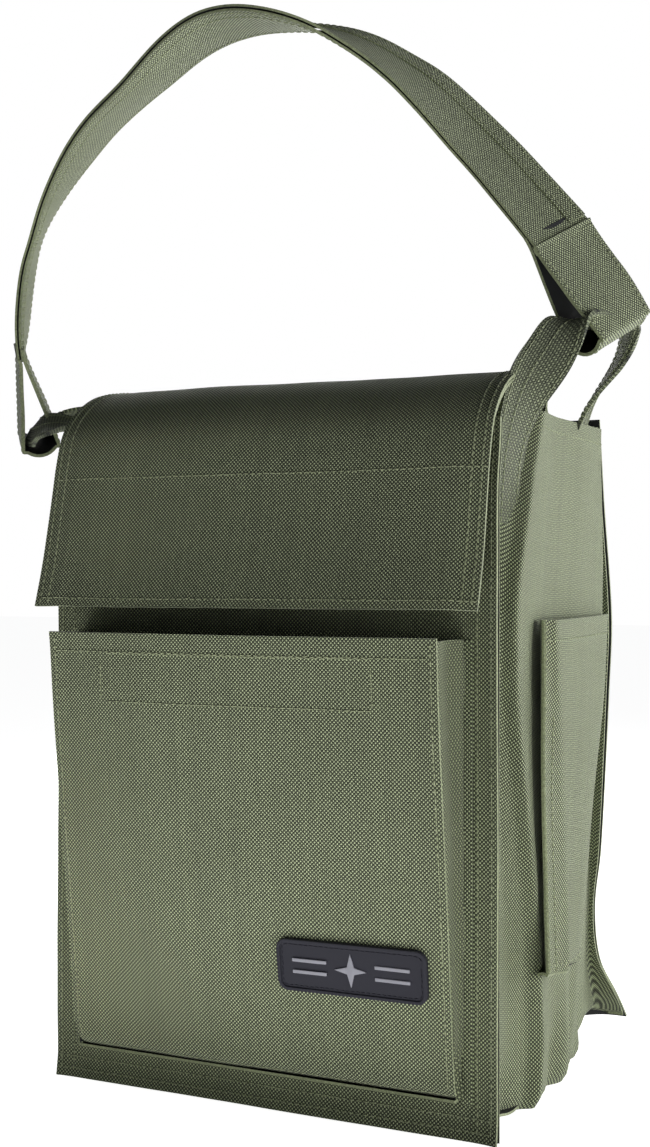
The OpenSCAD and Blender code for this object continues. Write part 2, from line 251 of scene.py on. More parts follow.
def weave_group() -> bpy.types.NodeTree:
    """Returns the node group of a plain weave, made once.

    Its Vector is a place on the cloth in metres and Density the threads per metre. Height is
    the threads' relief, Over is 1 where a warp thread is on top, and Tone differs by thread.
    """
    if "plain_weave" in bpy.data.node_groups:
        return bpy.data.node_groups["plain_weave"]
    group, g, start, end = new_group(
        "plain_weave", {"Vector": "NodeSocketVector", "Density": "NodeSocketFloat"},
        {"Height": "NodeSocketFloat", "Over": "NodeSocketFloat", "Tone": "NodeSocketFloat"})
    cells = g.add("ShaderNodeVectorMath", {0: start.outputs[0], 3: start.outputs[1]},
                  operation="SCALE").outputs[0]
    drift = g.add("ShaderNodeTexNoise", {"Vector": cells, "Scale": 0.05, "Detail": 2.0})
    drift = g.add("ShaderNodeVectorMath", {0: drift.outputs["Color"], 3: 0.8},
                  operation="SCALE").outputs[0]
    cells = g.add("ShaderNodeVectorMath", {0: cells, 1: drift}, operation="ADD").outputs[0]
    part = g.add("ShaderNodeSeparateXYZ", {0: cells})
    across, along = part.outputs[0], part.outputs[1]
    column, row = g.math("FLOOR", across), g.math("FLOOR", along)
    arch_x = g.math("SINE", g.math("MULTIPLY", g.math("FRACT", across), math.pi))
    arch_y = g.math("SINE", g.math("MULTIPLY", g.math("FRACT", along), math.pi))
    over = g.math("FLOORED_MODULO", g.math("ADD", column, row), 2.0)
    warp = g.math("MULTIPLY", g.math("SQRT", arch_x), g.math("MULTIPLY_ADD", arch_y, 0.5, 0.5))
    weft = g.math("MULTIPLY", g.math("SQRT", arch_y), g.math("MULTIPLY_ADD", arch_x, 0.5, 0.5))
    height = g.math("ADD", g.math("MULTIPLY", warp, over),
                    g.math("MULTIPLY", weft, g.math("SUBTRACT", 1.0, over)))
    thread = g.math("ADD", g.math("MULTIPLY", column, over),
                    g.math("MULTIPLY", g.math("ADD", row, 0.37), g.math("SUBTRACT", 1.0, over)))
    tone = g.add("ShaderNodeTexWhiteNoise", {"W": thread}, noise_dimensions="1D").outputs[0]
    slub = g.add("ShaderNodeTexNoise", {"Vector": cells, "Scale": 0.35, "Detail": 1.0}).outputs[0]
    tone = g.math("ADD", g.math("MULTIPLY", tone, 0.7), g.math("MULTIPLY", slub, 0.3))
    for index, value in enumerate((height, over, tone)):
        g.tree.links.new(value, end.inputs[index])
    return group


def cloud_group() -> bpy.types.NodeTree:
    """Returns the node group of soft, uneven fading over a surface, made once."""
    if "soft_fading" in bpy.data.node_groups:
        return bpy.data.node_groups["soft_fading"]
    group, g, start, end = new_group(
        "soft_fading", {"Vector": "NodeSocketVector", "Amount": "NodeSocketFloat"},
        {"Shade": "NodeSocketFloat"})
    large = g.add("ShaderNodeTexNoise", {"Vector": start.outputs[0], "Scale": 9.0,
                                         "Detail": 3.0}).outputs[0]
    small = g.add("ShaderNodeTexNoise", {"Vector": start.outputs[0], "Scale": 160.0,
                                         "Detail": 2.0}).outputs[0]
    both = g.math("ADD", g.math("MULTIPLY", large, 0.7), g.math("MULTIPLY", small, 0.3))
    centred = g.math("SUBTRACT", both, 0.5)
    shade = g.math("MULTIPLY_ADD", centred, start.outputs[1], 1.0)
    g.tree.links.new(shade, end.inputs[0])
    return group


class Finish:
    """A finish that is made into a material the first time that a piece takes it."""

    name: str
    slot: str
    relief: float

    def material(self) -> bpy.types.Material:
        """Returns the finish's material."""
        known = bpy.data.materials.get(self.name)
        if known:
            return known
        made = bpy.data.materials.new(self.name)
        made.use_nodes = True
        graph = Graph(made.node_tree)
        self.shade(graph, made.node_tree.nodes["Principled BSDF"])
        return made

    def shade(self, g: Graph, shader: bpy.types.Node) -> None:
        """Builds the finish's nodes; each finish has its own."""
        raise NotImplementedError

    def surface(self, g: Graph, shader: bpy.types.Node, colour, rough, height,
                strength: float) -> None:
        """Feeds the shader its colour and roughness, and raises it by height."""
        bump = g.add("ShaderNodeBump", {"Strength": strength, "Distance": self.relief,
                                        "Height": height})
        for key, socket in (("Base Color", colour), ("Roughness", rough),
                            ("Normal", bump.outputs[0])):
            g.tree.links.new(socket, shader.inputs[key])


@dataclass(frozen=True)
class Weave(Finish):
    """Plain-woven cloth of one thread: a light warp colour of painted sheen, a dark weft colour of
    painted shade, painted shade in the gaps between them and their relief.
    """

    name: str
    slot: str
    # warp and weft colour one thread: the warp colour is its painted sheen and the weft colour its
    # painted shade.
    warp: Point
    weft: Point
    # The gap colour is painted shade between the threads.
    gap: Point
    pitch: float
    relief: float
    tone: float = 0.13
    fading: float = 0.30
    fuzz: float = 0.2

    def shade(self, g: Graph, shader: bpy.types.Node) -> None:
        """Colours the threads with painted sheen and shade, paints light on their crowns and shade
        on their flanks and gaps, fades them softly and raises them.
        """
        place = g.add("ShaderNodeTexCoord")
        weave = g.add("ShaderNodeGroup", node_tree=weave_group())
        g.tree.links.new(place.outputs["UV"], weave.inputs[0])
        weave.inputs[1].default_value = 1 / self.pitch
        cloud = g.add("ShaderNodeGroup", node_tree=cloud_group())
        g.tree.links.new(place.outputs["Object"], cloud.inputs[0])
        cloud.inputs[1].default_value = self.fading
        # The lighter warp and darker weft make a checkerboard of painted sheen and shade.
        threads = g.blend("MIX", weave.outputs["Over"], rgba(self.weft), rgba(self.warp))
        tone = g.spread(weave.outputs["Tone"], 0, 1, 1 - self.tone, 1 + self.tone)
        # Painted light on the threads' crowns and painted shade on their flanks.
        painted_crown_shading = g.spread(weave.outputs["Height"], 0.25, 0.95, 0.30, 1.45)
        shade = g.math("MULTIPLY", g.math("MULTIPLY", tone, painted_crown_shading), cloud.outputs[0])
        grey = g.add("ShaderNodeCombineColor", {0: shade, 1: shade, 2: shade}).outputs[0]
        threads = g.blend("MULTIPLY", 1.0, threads, grey)
        # Painted shade in the gaps between threads, where the relief is low.
        gap_shade_mask = g.spread(weave.outputs["Height"], 0.20, 0.62, 0, 1)
        colour = g.blend("MIX", gap_shade_mask, rgba(self.gap), threads)
        rough = g.spread(weave.outputs["Tone"], 0, 1, 0.62, 0.86)
        self.surface(g, shader, colour, rough, weave.outputs["Height"], 0.85)
        shader.inputs["Sheen Weight"].default_value = self.fuzz
        shader.inputs["Sheen Roughness"].default_value = 0.5
        shader.inputs["Specular IOR Level"].default_value = 0.35


@dataclass(frozen=True)
class Grained(Finish):
    """A plain stuff with a fine grain, such as a coating, cut edges, thread, pile or rubber."""

    name: str
    slot: str
    colour: Point
    dark: Point
    grain: float
    relief: float
    rough: Tuple[float, float] = (0.6, 0.85)
    fuzz: float = 0.0
    gloss: float = 0.4

    def shade(self, g: Graph, shader: bpy.types.Node) -> None:
        """Mixes two colours by a fine grain and raises it."""
        place = g.add("ShaderNodeTexCoord").outputs["Object"]
        fine = g.add("ShaderNodeTexNoise", {"Vector": place, "Scale": 1 / self.grain,
                                            "Detail": 4.0, "Roughness": 0.6}).outputs[0]
        wide = g.add("ShaderNodeTexNoise", {"Vector": place, "Scale": 25.0,
                                            "Detail": 2.0}).outputs[0]
        both = g.math("ADD", g.math("MULTIPLY", fine, 0.75), g.math("MULTIPLY", wide, 0.25))
        share = g.spread(both, 0.35, 0.65, 0, 1)
        colour = g.blend("MIX", share, rgba(self.dark), rgba(self.colour))
        rough = g.spread(fine, 0.3, 0.7, *self.rough)
        self.surface(g, shader, colour, rough, fine, 0.7)
        shader.inputs["Sheen Weight"].default_value = self.fuzz
        shader.inputs["Specular IOR Level"].default_value = self.gloss


# Each warp colour is the thread's painted sheen, each weft colour the same thread's painted shade,
# and each gap colour painted shade between threads.
NYLON = Weave("olive_nylon_weave", "olive_nylon", warp=(0.48, 0.545, 0.325),
              weft=(0.052, 0.060, 0.034), gap=(0.004, 0.005, 0.004), pitch=0.00096,
              relief=0.0004)
BELLOWS_NYLON = Weave("bellows_nylon_weave", "olive_nylon", warp=(0.30, 0.34, 0.19),
                      weft=(0.075, 0.09, 0.048), gap=(0.006, 0.007, 0.006), pitch=0.00115,
                      relief=0.0005)
WEBBING = Weave("olive_webbing_weave", "olive_webbing", warp=(0.26, 0.29, 0.18),
                weft=(0.10, 0.118, 0.068), gap=(0.010, 0.012, 0.009), pitch=0.00125,
                relief=0.0006, tone=0.35)
COATING = Grained("inner_coating", "olive_nylon", colour=(0.030, 0.033, 0.030),
                  dark=(0.016, 0.017, 0.021), grain=0.0016, relief=0.00008)
CUT_EDGE = Grained("folded_thread_edge", "olive_nylon", colour=(0.42, 0.47, 0.27),
                   dark=(0.16, 0.185, 0.10), grain=0.0009, relief=0.0003, fuzz=0.3)
THREAD = Grained("sewing_thread", "thread", colour=(0.46, 0.50, 0.32),
                 dark=(0.24, 0.275, 0.15), grain=0.0006, relief=0.0001, fuzz=0.2)
PILE = Grained("loop_pile", "hook_and_loop", colour=(0.075, 0.085, 0.055),
               dark=(0.012, 0.014, 0.010), grain=0.0007, relief=0.0009, fuzz=0.4)
RUBBER = Grained("patch_rubber", "patch_rubber", colour=(0.021, 0.022, 0.031),
                 dark=(0.012, 0.012, 0.018), grain=0.0005, relief=0.00005,
                 rough=(0.42, 0.6), gloss=0.5)
RELIEF = Grained("patch_relief", "patch_relief", colour=(0.42, 0.42, 0.50),
                 dark=(0.27, 0.27, 0.34), grain=0.0005, relief=0.00005,
                 rough=(0.45, 0.65), gloss=0.5)


# ---- cloth and stitches ---------------------------------------------------------------------
class Edge(Enum):
    """The four edges of a piece of cloth."""

    LEFT = "left"
    RIGHT = "right"
    BOTTOM = "bottom"
    TOP = "top"


SIDES = (Edge.LEFT, Edge.RIGHT)


class Held(Enum):
    """How the cloth is held where it is."""

    STRETCHED = "stretched"
    FOLDED = "folded"
    GATHERED = "gathered"


def deselect() -> None:
    """Deselects every object, so that an operator acts on the new piece alone."""
    bpy.ops.object.select_all(action="DESELECT")


def pick(*pieces: bpy.types.Object) -> None:
    """Selects these pieces alone, the first of them active."""
    deselect()
    for piece in pieces:
        piece.select_set(True)
    bpy.context.view_layer.objects.active = pieces[0]


def finish_mesh(piece: bpy.types.Object, angle: float = 50.0) -> None:
    """Shades a piece smoothly, except over edges sharper than angle, in degrees."""
    pick(piece)
    bpy.ops.object.shade_smooth_by_angle(angle=math.radians(angle))
    deselect()


def apply_modifier(piece: bpy.types.Object, name: str) -> None:
    """Applies the named modifier to a piece."""
    pick(piece)
    bpy.ops.object.modifier_apply(modifier=name)


@dataclass
class Cloth:
    """A piece of cloth: a grid laid where place(u, v) says and given a thickness.

    u and v run from 0 to 1 over the cut piece, and u x v points out of its outer face.
    """

    name: str
    place: Place
    cols: int
    rows: int
    finish: Finish = NYLON
    inside: Finish = COATING
    rim: Finish = CUT_EDGE
    thickness: float = THIN_CLOTH
    held: Held = Held.STRETCHED
    rests_on: Tuple[str, ...] = ()
    grid: np.ndarray = field(default=None, repr=False)

    def lay(self) -> None:
        """Works out where the grid's points are, and their distances from the cut's edges."""
        rows = [[self.place(i / self.cols, j / self.rows)[:] for i in range(self.cols + 1)]
                for j in range(self.rows + 1)]
        self.grid = np.array(rows, float)
        right = np.linalg.norm(np.diff(self.grid, axis=1), axis=2)
        up = np.linalg.norm(np.diff(self.grid, axis=0), axis=2)
        self.across = np.pad(np.cumsum(right, axis=1), ((0, 0), (1, 0)))
        self.along = np.pad(np.cumsum(up, axis=0), ((1, 0), (0, 0)))
        tangent_u = np.gradient(self.grid, axis=1)
        tangent_v = np.gradient(self.grid, axis=0)
        normal = np.cross(tangent_u, tangent_v)
        self.normals = normal / np.maximum(np.linalg.norm(normal, axis=2, keepdims=True), 1e-12)

    def build(self) -> bpy.types.Object:
        """Makes the piece, thick, with its weave laid along its threads.

        Returns:
            The finished piece.
        """
        self.lay()
        deselect()
        bpy.ops.mesh.primitive_grid_add(x_subdivisions=self.cols, y_subdivisions=self.rows,
                                        size=2, location=(0, 0, 0))
        piece = bpy.context.active_object
        piece.name = piece.data.name = self.name
        mesh = piece.data
        flat = np.zeros(len(mesh.vertices) * 3)
        mesh.vertices.foreach_get("co", flat)
        flat = flat.reshape(-1, 3)
        i = np.rint((flat[:, 0] + 1) / 2 * self.cols).astype(int)
        j = np.rint((flat[:, 1] + 1) / 2 * self.rows).astype(int)
        mesh.vertices.foreach_set("co", self.grid[j, i].ravel())
        middle = self.across[:, self.cols // 2:self.cols // 2 + 1]
        threads = np.stack([self.across - middle, self.along], axis=2)[j, i]
        corner = np.zeros(len(mesh.loops), int)
        mesh.loops.foreach_get("vertex_index", corner)
        mesh.uv_layers[0].data.foreach_set("uv", threads[corner].ravel())
        for finish in (self.finish, self.inside, self.rim):
            mesh.materials.append(finish.material())
        solid = piece.modifiers.new("thickness", "SOLIDIFY")
        solid.thickness = self.thickness
        solid.offset = -1
        solid.material_offset = 1
        solid.material_offset_rim = 2
        apply_modifier(piece, "thickness")
        finish_mesh(piece)
        return piece

    def seam(self, edge: Edge, inset: float, start: float = 0.0, end: float = 1.0) -> Run:
        """Finds the line that runs at a distance from one edge.

        Args:
            edge: the edge it follows.
            inset: its distance from that edge.
            start: where it starts along the edge, from 0 to 1.
            end: where it ends.

        Returns:
            The line's points and the cloth's outward normals there.
        """
        sideways = edge in SIDES
        marks = self.across if sideways else self.along.T
        grid = self.grid if sideways else self.grid.transpose(1, 0, 2)
        normals = self.normals if sideways else self.normals.transpose(1, 0, 2)
        count = len(marks)
        points, out = [], []
        for k in range(count):
            if not start <= k / (count - 1) <= end:
                continue
            total = marks[k][-1]
            at = inset if edge in (Edge.LEFT, Edge.BOTTOM) else total - inset
            column = np.interp(at, marks[k], np.arange(len(marks[k])))
            low = min(int(column), len(marks[k]) - 2)
            t = column - low
            points.append(grid[k][low] * (1 - t) + grid[k][low + 1] * t)
            out.append(normals[k][low] * (1 - t) + normals[k][low + 1] * t)
        return np.array(points), np.array(out)


def turned(run: Run, depth: float) -> Run:
    """Returns a seam's line as seen from the cloth's inner face, depth behind the outer one."""
    points, normals = run
    return points - normals * depth, -normals


@dataclass
class Stitches:
    """Rows of lock stitches, each a short spindle of thread lying on the cloth."""

    name: str
    runs: Sequence[Run]
    pitch: float = 0.0036
    thread: float = 0.00042
    finish: Finish = THREAD
    ahead: float = 0.0008
    slant: float = 0.08
    stray: float = 0.00012

    def spindle(self) -> Tuple[np.ndarray, List[List[int]]]:
        """Models one stitch, lying along X.

        Returns:
            Its points and its faces.
        """
        deselect()
        bpy.ops.mesh.primitive_uv_sphere_add(segments=6, ring_count=5, radius=1)
        stitch = bpy.context.active_object
        points = np.array([v.co[:] for v in stitch.data.vertices])
        points = points[:, [2, 0, 1]] * (0.40 * self.pitch, self.thread, self.thread * 0.8)
        faces = [list(f.vertices) for f in stitch.data.polygons]
        bpy.data.objects.remove(stitch)
        return points, faces

    def build(self) -> bpy.types.Object:
        """Copies the stitch along every row.

        Returns:
            One piece that holds all the stitches.
        """
        chance = random.Random(self.name)
        shape, faces = self.spindle()
        points, loops = [], []
        for line, normals in self.runs:
            steps = np.linalg.norm(np.diff(line, axis=0), axis=1)
            marks = np.concatenate([[0.0], np.cumsum(steps)])
            for k in range(int(marks[-1] / self.pitch)):
                s = (k + 0.5) * self.pitch
                here = np.array([np.interp(s, marks, line[:, a]) for a in range(3)])
                ahead = np.array([np.interp(s + self.ahead, marks, line[:, a])
                                  for a in range(3)])
                normal = np.array([np.interp(s, marks, normals[:, a]) for a in range(3)])
                normal /= np.linalg.norm(normal)
                along = ahead - here
                along /= max(np.linalg.norm(along), 1e-12)
                side = np.cross(normal, along)
                along = along + side * chance.uniform(-self.slant, self.slant)
                here = (here + normal * self.thread * 0.35
                        + side * chance.uniform(-1, 1) * self.stray)
                first = len(points) * len(shape)
                points.append(here + shape @ np.array([along, side, normal]))
                loops += [[first + n for n in face] for face in faces]
        mesh = bpy.data.meshes.new(self.name)
        mesh.from_pydata(np.concatenate(points).tolist(), [], loops)
        mesh.materials.append(self.finish.material())
        piece = bpy.data.objects.new(self.name, mesh)
        bpy.context.scene.collection.objects.link(piece)
        finish_mesh(piece, 180.0)
        LOG.info("%s: %d stitches", self.name, len(points))
        return piece


def mirrored(place: Place) -> Place:
    """Returns the place of a piece's twin on the other side of the bag."""
    def other(u: float, v: float) -> Vector:
        """Places the twin's point across the bag's middle."""
        point = place(1 - u, v)
        return Vector((-point.x, point.y, point.z))
    return other


@dataclass
class Rig:
    """Names the body that a piece moves with, or the pair of bodies that it lies between."""

    body: str
    onto: Optional[str] = None
    start: Point = (0, 0, 0)
    end: Point = (0, 0, 0)

    def fix(self, piece: bpy.types.Object, *nodes: str) -> None:
        """Rides the piece on its body, or, where it lies between two bodies, only bakes its
        transform; and hides the CAD nodes that it stands for.
        """
        if self.onto:
            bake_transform(piece)
        else:
            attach(piece, self.body)
        if nodes:
            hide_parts(*nodes)


# ---- the bag's body -------------------------------------------------------------------------
@dataclass
class Shell:
    """The upright box of cloth: front, rear, two side gussets and the bottom."""

    seam_x: float = 0.109
    flange: float = 0.011
    front_y: float = -0.0915
    rear_y: float = 0.0915
    top: float = 0.332
    gusset_top: float = 0.3400
    rear_top: float = 0.346
    turn: float = 0.010
    tuck: float = 0.0060
    crest_x: float = 0.1228
    lean_in: float = 0.0045
    corner_rise: float = 0.0075
    edge_rise: float = 0.0100
    pucker: float = 0.0026
    bottom_half: float = 0.1145
    bottom_rear_half: float = 0.1035
    front_fold: Tuple = ((0.0, -0.040), (0.030, -0.032), (0.075, -0.037), (0.123, -0.050),
                         (0.201, -0.066), (0.248, -0.072), (0.285, -0.058), (0.315, -0.041),
                         (0.340, -0.027))
    rear_fold: Tuple = ((0.0, 0.026), (0.050, 0.028), (0.070, 0.034), (0.115, 0.046),
                        (0.164, 0.062), (0.200, 0.078), (0.240, 0.084), (0.340, 0.080))
    rear_edge_x: Tuple = ((0.0, 0.1265), (0.015, 0.1235), (0.040, 0.116), (0.072, 0.1135),
                          (0.105, 0.117), (0.197, 0.1215), (0.236, 0.1225), (0.300, 0.119),
                          (0.346, 0.117))
    rear_edge_y: Tuple = ((0.0, 0.113), (0.015, 0.104), (0.040, 0.0955), (0.072, 0.0935),
                          (0.105, 0.0935), (0.197, 0.0945), (0.236, 0.0955), (0.300, 0.0925),
                          (0.346, 0.0905))
    marks: Tuple = (0.0, 0.045, 0.075, 0.15, 0.235, 0.29, 0.45, 0.63, 0.77, 0.87, 0.925,
                    0.955, 1.0)

    @property
    def half_w(self) -> float:
        """Half the panels' width, out to the flange's edge."""
        return self.seam_x + self.flange

    def lean_back(self, z: float) -> float:
        """Returns how far the front's upper edge leans in under the flap at height z."""
        return self.lean_in * ease((z - 0.296) / 0.036)

    def front(self, u: float, v: float) -> Vector:
        """Places the front panel, whose flanges curl a little at the corner seams."""
        x, z = mix(-self.half_w, self.half_w, u), v * self.top
        out = clamp((abs(x) - self.seam_x) / self.flange)
        low = clamp(1 - z / 0.012)
        y = self.front_y - 0.0012 * out * out - 0.0016 * low + self.lean_back(z)
        y += ripple(x, z, 1.0, 0.09, 0.0010) + ripple(x, z, 2.0, 0.03, 0.0003)
        return Vector((x, y, z + 0.0004 * low))

    def rear(self, u: float, v: float) -> Vector:
        """Places the rear panel, which splays out towards its lower corners."""
        z = v * self.rear_top
        edge = table(self.rear_edge_x, z)
        x = mix(edge, -edge, u)
        side = ease((abs(x) - 0.055) / 0.050)
        middle = self.rear_y + 0.006 * math.sin(math.pi * clamp(z / self.rear_top))
        middle += 0.007 * clamp(1 - z / 0.05) ** 2
        y = mix(middle, table(self.rear_edge_y, z) + 0.0012, side)
        y += (ripple(x, z, 3.0, 0.10, 0.0012) + ripple(x, z, 4.0, 0.035, 0.0004)) * (1 - side)
        rise = self.corner_rise * ease((abs(x) - 0.070) / 0.050) * ease(1 - z / 0.06)
        return Vector((x, y, z + 0.0006 + rise))

    def gusset_plan(self, z: float) -> List[Vector]:
        """Returns the right gusset's outline at height z, from front flange to rear flange."""
        fold_y, rear_y = table(self.front_fold, z), table(self.rear_fold, z)
        belly = 0.0016 * math.sin(math.pi * clamp(z / self.gusset_top))
        low = ease(1 - z / 0.075)
        edge_x, edge_y = table(self.rear_edge_x, z), table(self.rear_edge_y, z)
        near = self.front_y + self.lean_back(z)
        seam, crest = self.seam_x, self.crest_x
        return [Vector((self.half_w, near + 0.0048, 0)),
                Vector((seam + 0.0022, near + 0.0030, 0)),
                Vector((seam + 0.0010, near + 0.0095, 0)),
                Vector((seam + 0.0020, mix(near + 0.0095, fold_y, 0.60), 0)),
                Vector((mix(seam, crest, 0.50), mix(near + 0.0095, fold_y, 0.90), 0)),
                Vector((crest, fold_y, 0)),
                Vector((0.1200 + belly, mix(fold_y, rear_y, 0.30), 0)),
                Vector((0.1206 + belly, mix(fold_y, rear_y, 0.75), 0)),
                Vector((mix(0.1216, 0.1205, low), rear_y, 0)),
                Vector((mix(0.1140, 0.1125, low), mix(rear_y, edge_y, mix(0.55, 0.34, low)), 0)),
                Vector((seam + 0.0016, edge_y - 0.0066, 0)),
                Vector((seam + 0.0014, edge_y - 0.0030, 0)),
                Vector((edge_x, edge_y - 0.0034, 0))]

    def lower_edge(self, y: float) -> float:
        """Returns the height of the gusset's lower edge, which rises to both corner seams."""
        return self.edge_rise * ease((abs(y) - 0.045) / 0.050)

    def gusset(self, u: float, v: float) -> Vector:
        """Places the right side gusset, whose lower edge turns under the bag."""
        inside = ease((u - 0.035) / 0.06) * ease((0.985 - u) / 0.06)
        top = mix(self.top - 0.002, self.gusset_top, ease((u - 0.055) / 0.03))
        top = mix(self.rear_top - 0.004, top, ease((0.985 - u) / 0.05))
        level = v * (top + self.tuck)
        drop = max(self.tuck - level, 0.0)
        z = max(level - self.tuck, 0.0)
        round_off = self.turn - math.sqrt(max(self.turn ** 2 - max(self.turn - z, 0) ** 2, 0))
        near = self.along_plan(self.gusset_plan(z), u)
        foot = ease(1 - z / 0.095) * inside
        wave = math.sin(near.y * 165 + 24 * z) + 0.5 * math.sin(near.y * 250 - 40 * z + 1.1)
        wave *= (self.pucker * foot * ease((near.y + 0.030) / 0.03)
                 * ease((0.075 - near.y) / 0.03))
        hollow = math.exp(-((near.y + 0.066) / 0.016) ** 2 - ((z - 0.014) / 0.012) ** 2)
        near.x += wave - inside * (0.55 * round_off + 0.9 * drop + 0.0045 * hollow)
        near.x += inside * (ripple(near.y, z, 5.0, 0.075, 0.0024)
                            + ripple(near.y, z, 6.0, 0.028, 0.0006))
        raised = inside if u < 0.5 else 1.0
        near.z = max(z + raised * self.lower_edge(near.y) * ease(1 - z / 0.07), 0.0008)
        return near

    def along_plan(self, plan: Sequence[Vector], u: float) -> Vector:
        """Returns the point a share u of the way round an outline, its creases kept soft."""
        total = Vector()
        shares = (-1.0, -0.5, 0.0, 0.5, 1.0)
        for k in shares:
            at = clamp(u + k * 0.011)
            i = max(n for n in range(len(self.marks) - 1) if self.marks[n] <= at)
            t = (at - self.marks[i]) / (self.marks[i + 1] - self.marks[i])
            total += plan[i].lerp(plan[i + 1], t)
        return total / len(shares)

    def bottom(self, u: float, v: float) -> Vector:
        """Places the bottom panel, flat in the middle and rising to its side seams."""
        y = mix(self.rear_y + 0.006, self.front_y + 0.002, v)
        half = mix(self.bottom_half, self.bottom_rear_half, ease((y - 0.030) / 0.025))
        x = mix(-half, half, u)
        rise = 0.0022 * ease((abs(x) - 0.095) / 0.02)
        corner = ease((abs(y) - 0.05) / 0.04) * ease((abs(x) - 0.07) / 0.045)
        return Vector((x, y, 0.0003 + rise + 0.007 * corner))

    def build(self) -> None:
        """Cuts and sews the body's five panels."""
        body = Rig("bag_body")
        front = Cloth("front_panel_cloth", self.front, 72, 90, thickness=STIFF_CLOTH)
        body.fix(front.build(), "front_panel")
        rear = Cloth("rear_panel_cloth", self.rear, 72, 90, thickness=STIFF_CLOTH)
        body.fix(rear.build(), "rear_panel")
        right = Cloth("side_gusset_cloth_right", self.gusset, 120, 96)
        body.fix(right.build(), "side_gusset_right")
        left = Cloth("side_gusset_cloth_left", mirrored(self.gusset), 120, 96)
        body.fix(left.build(), "side_gusset_left")
        bottom = Cloth("bottom_panel_cloth", self.bottom, 48, 40)
        body.fix(bottom.build(), "bottom_panel")
        runs = [front.seam(Edge.BOTTOM, d) for d in (0.0045, 0.0105)]
        for edge in SIDES:
            runs += [front.seam(edge, d, 0.01) for d in (0.0028, 0.0098)]
            runs += [rear.seam(edge, d, 0.005) for d in (0.0035, 0.0100)]
        runs += [rear.seam(Edge.BOTTOM, d) for d in (0.0045, 0.0105)]
        runs += [turned(rear.seam(edge, d, 0.005), STIFF_CLOTH) for edge in SIDES
                 for d in (0.0035, 0.0080)]
        for gusset in (left, right):
            runs.append(gusset.seam(Edge.TOP, 0.0085, 0.08, 0.93))
        body.fix(Stitches("body_stitching", runs).build())


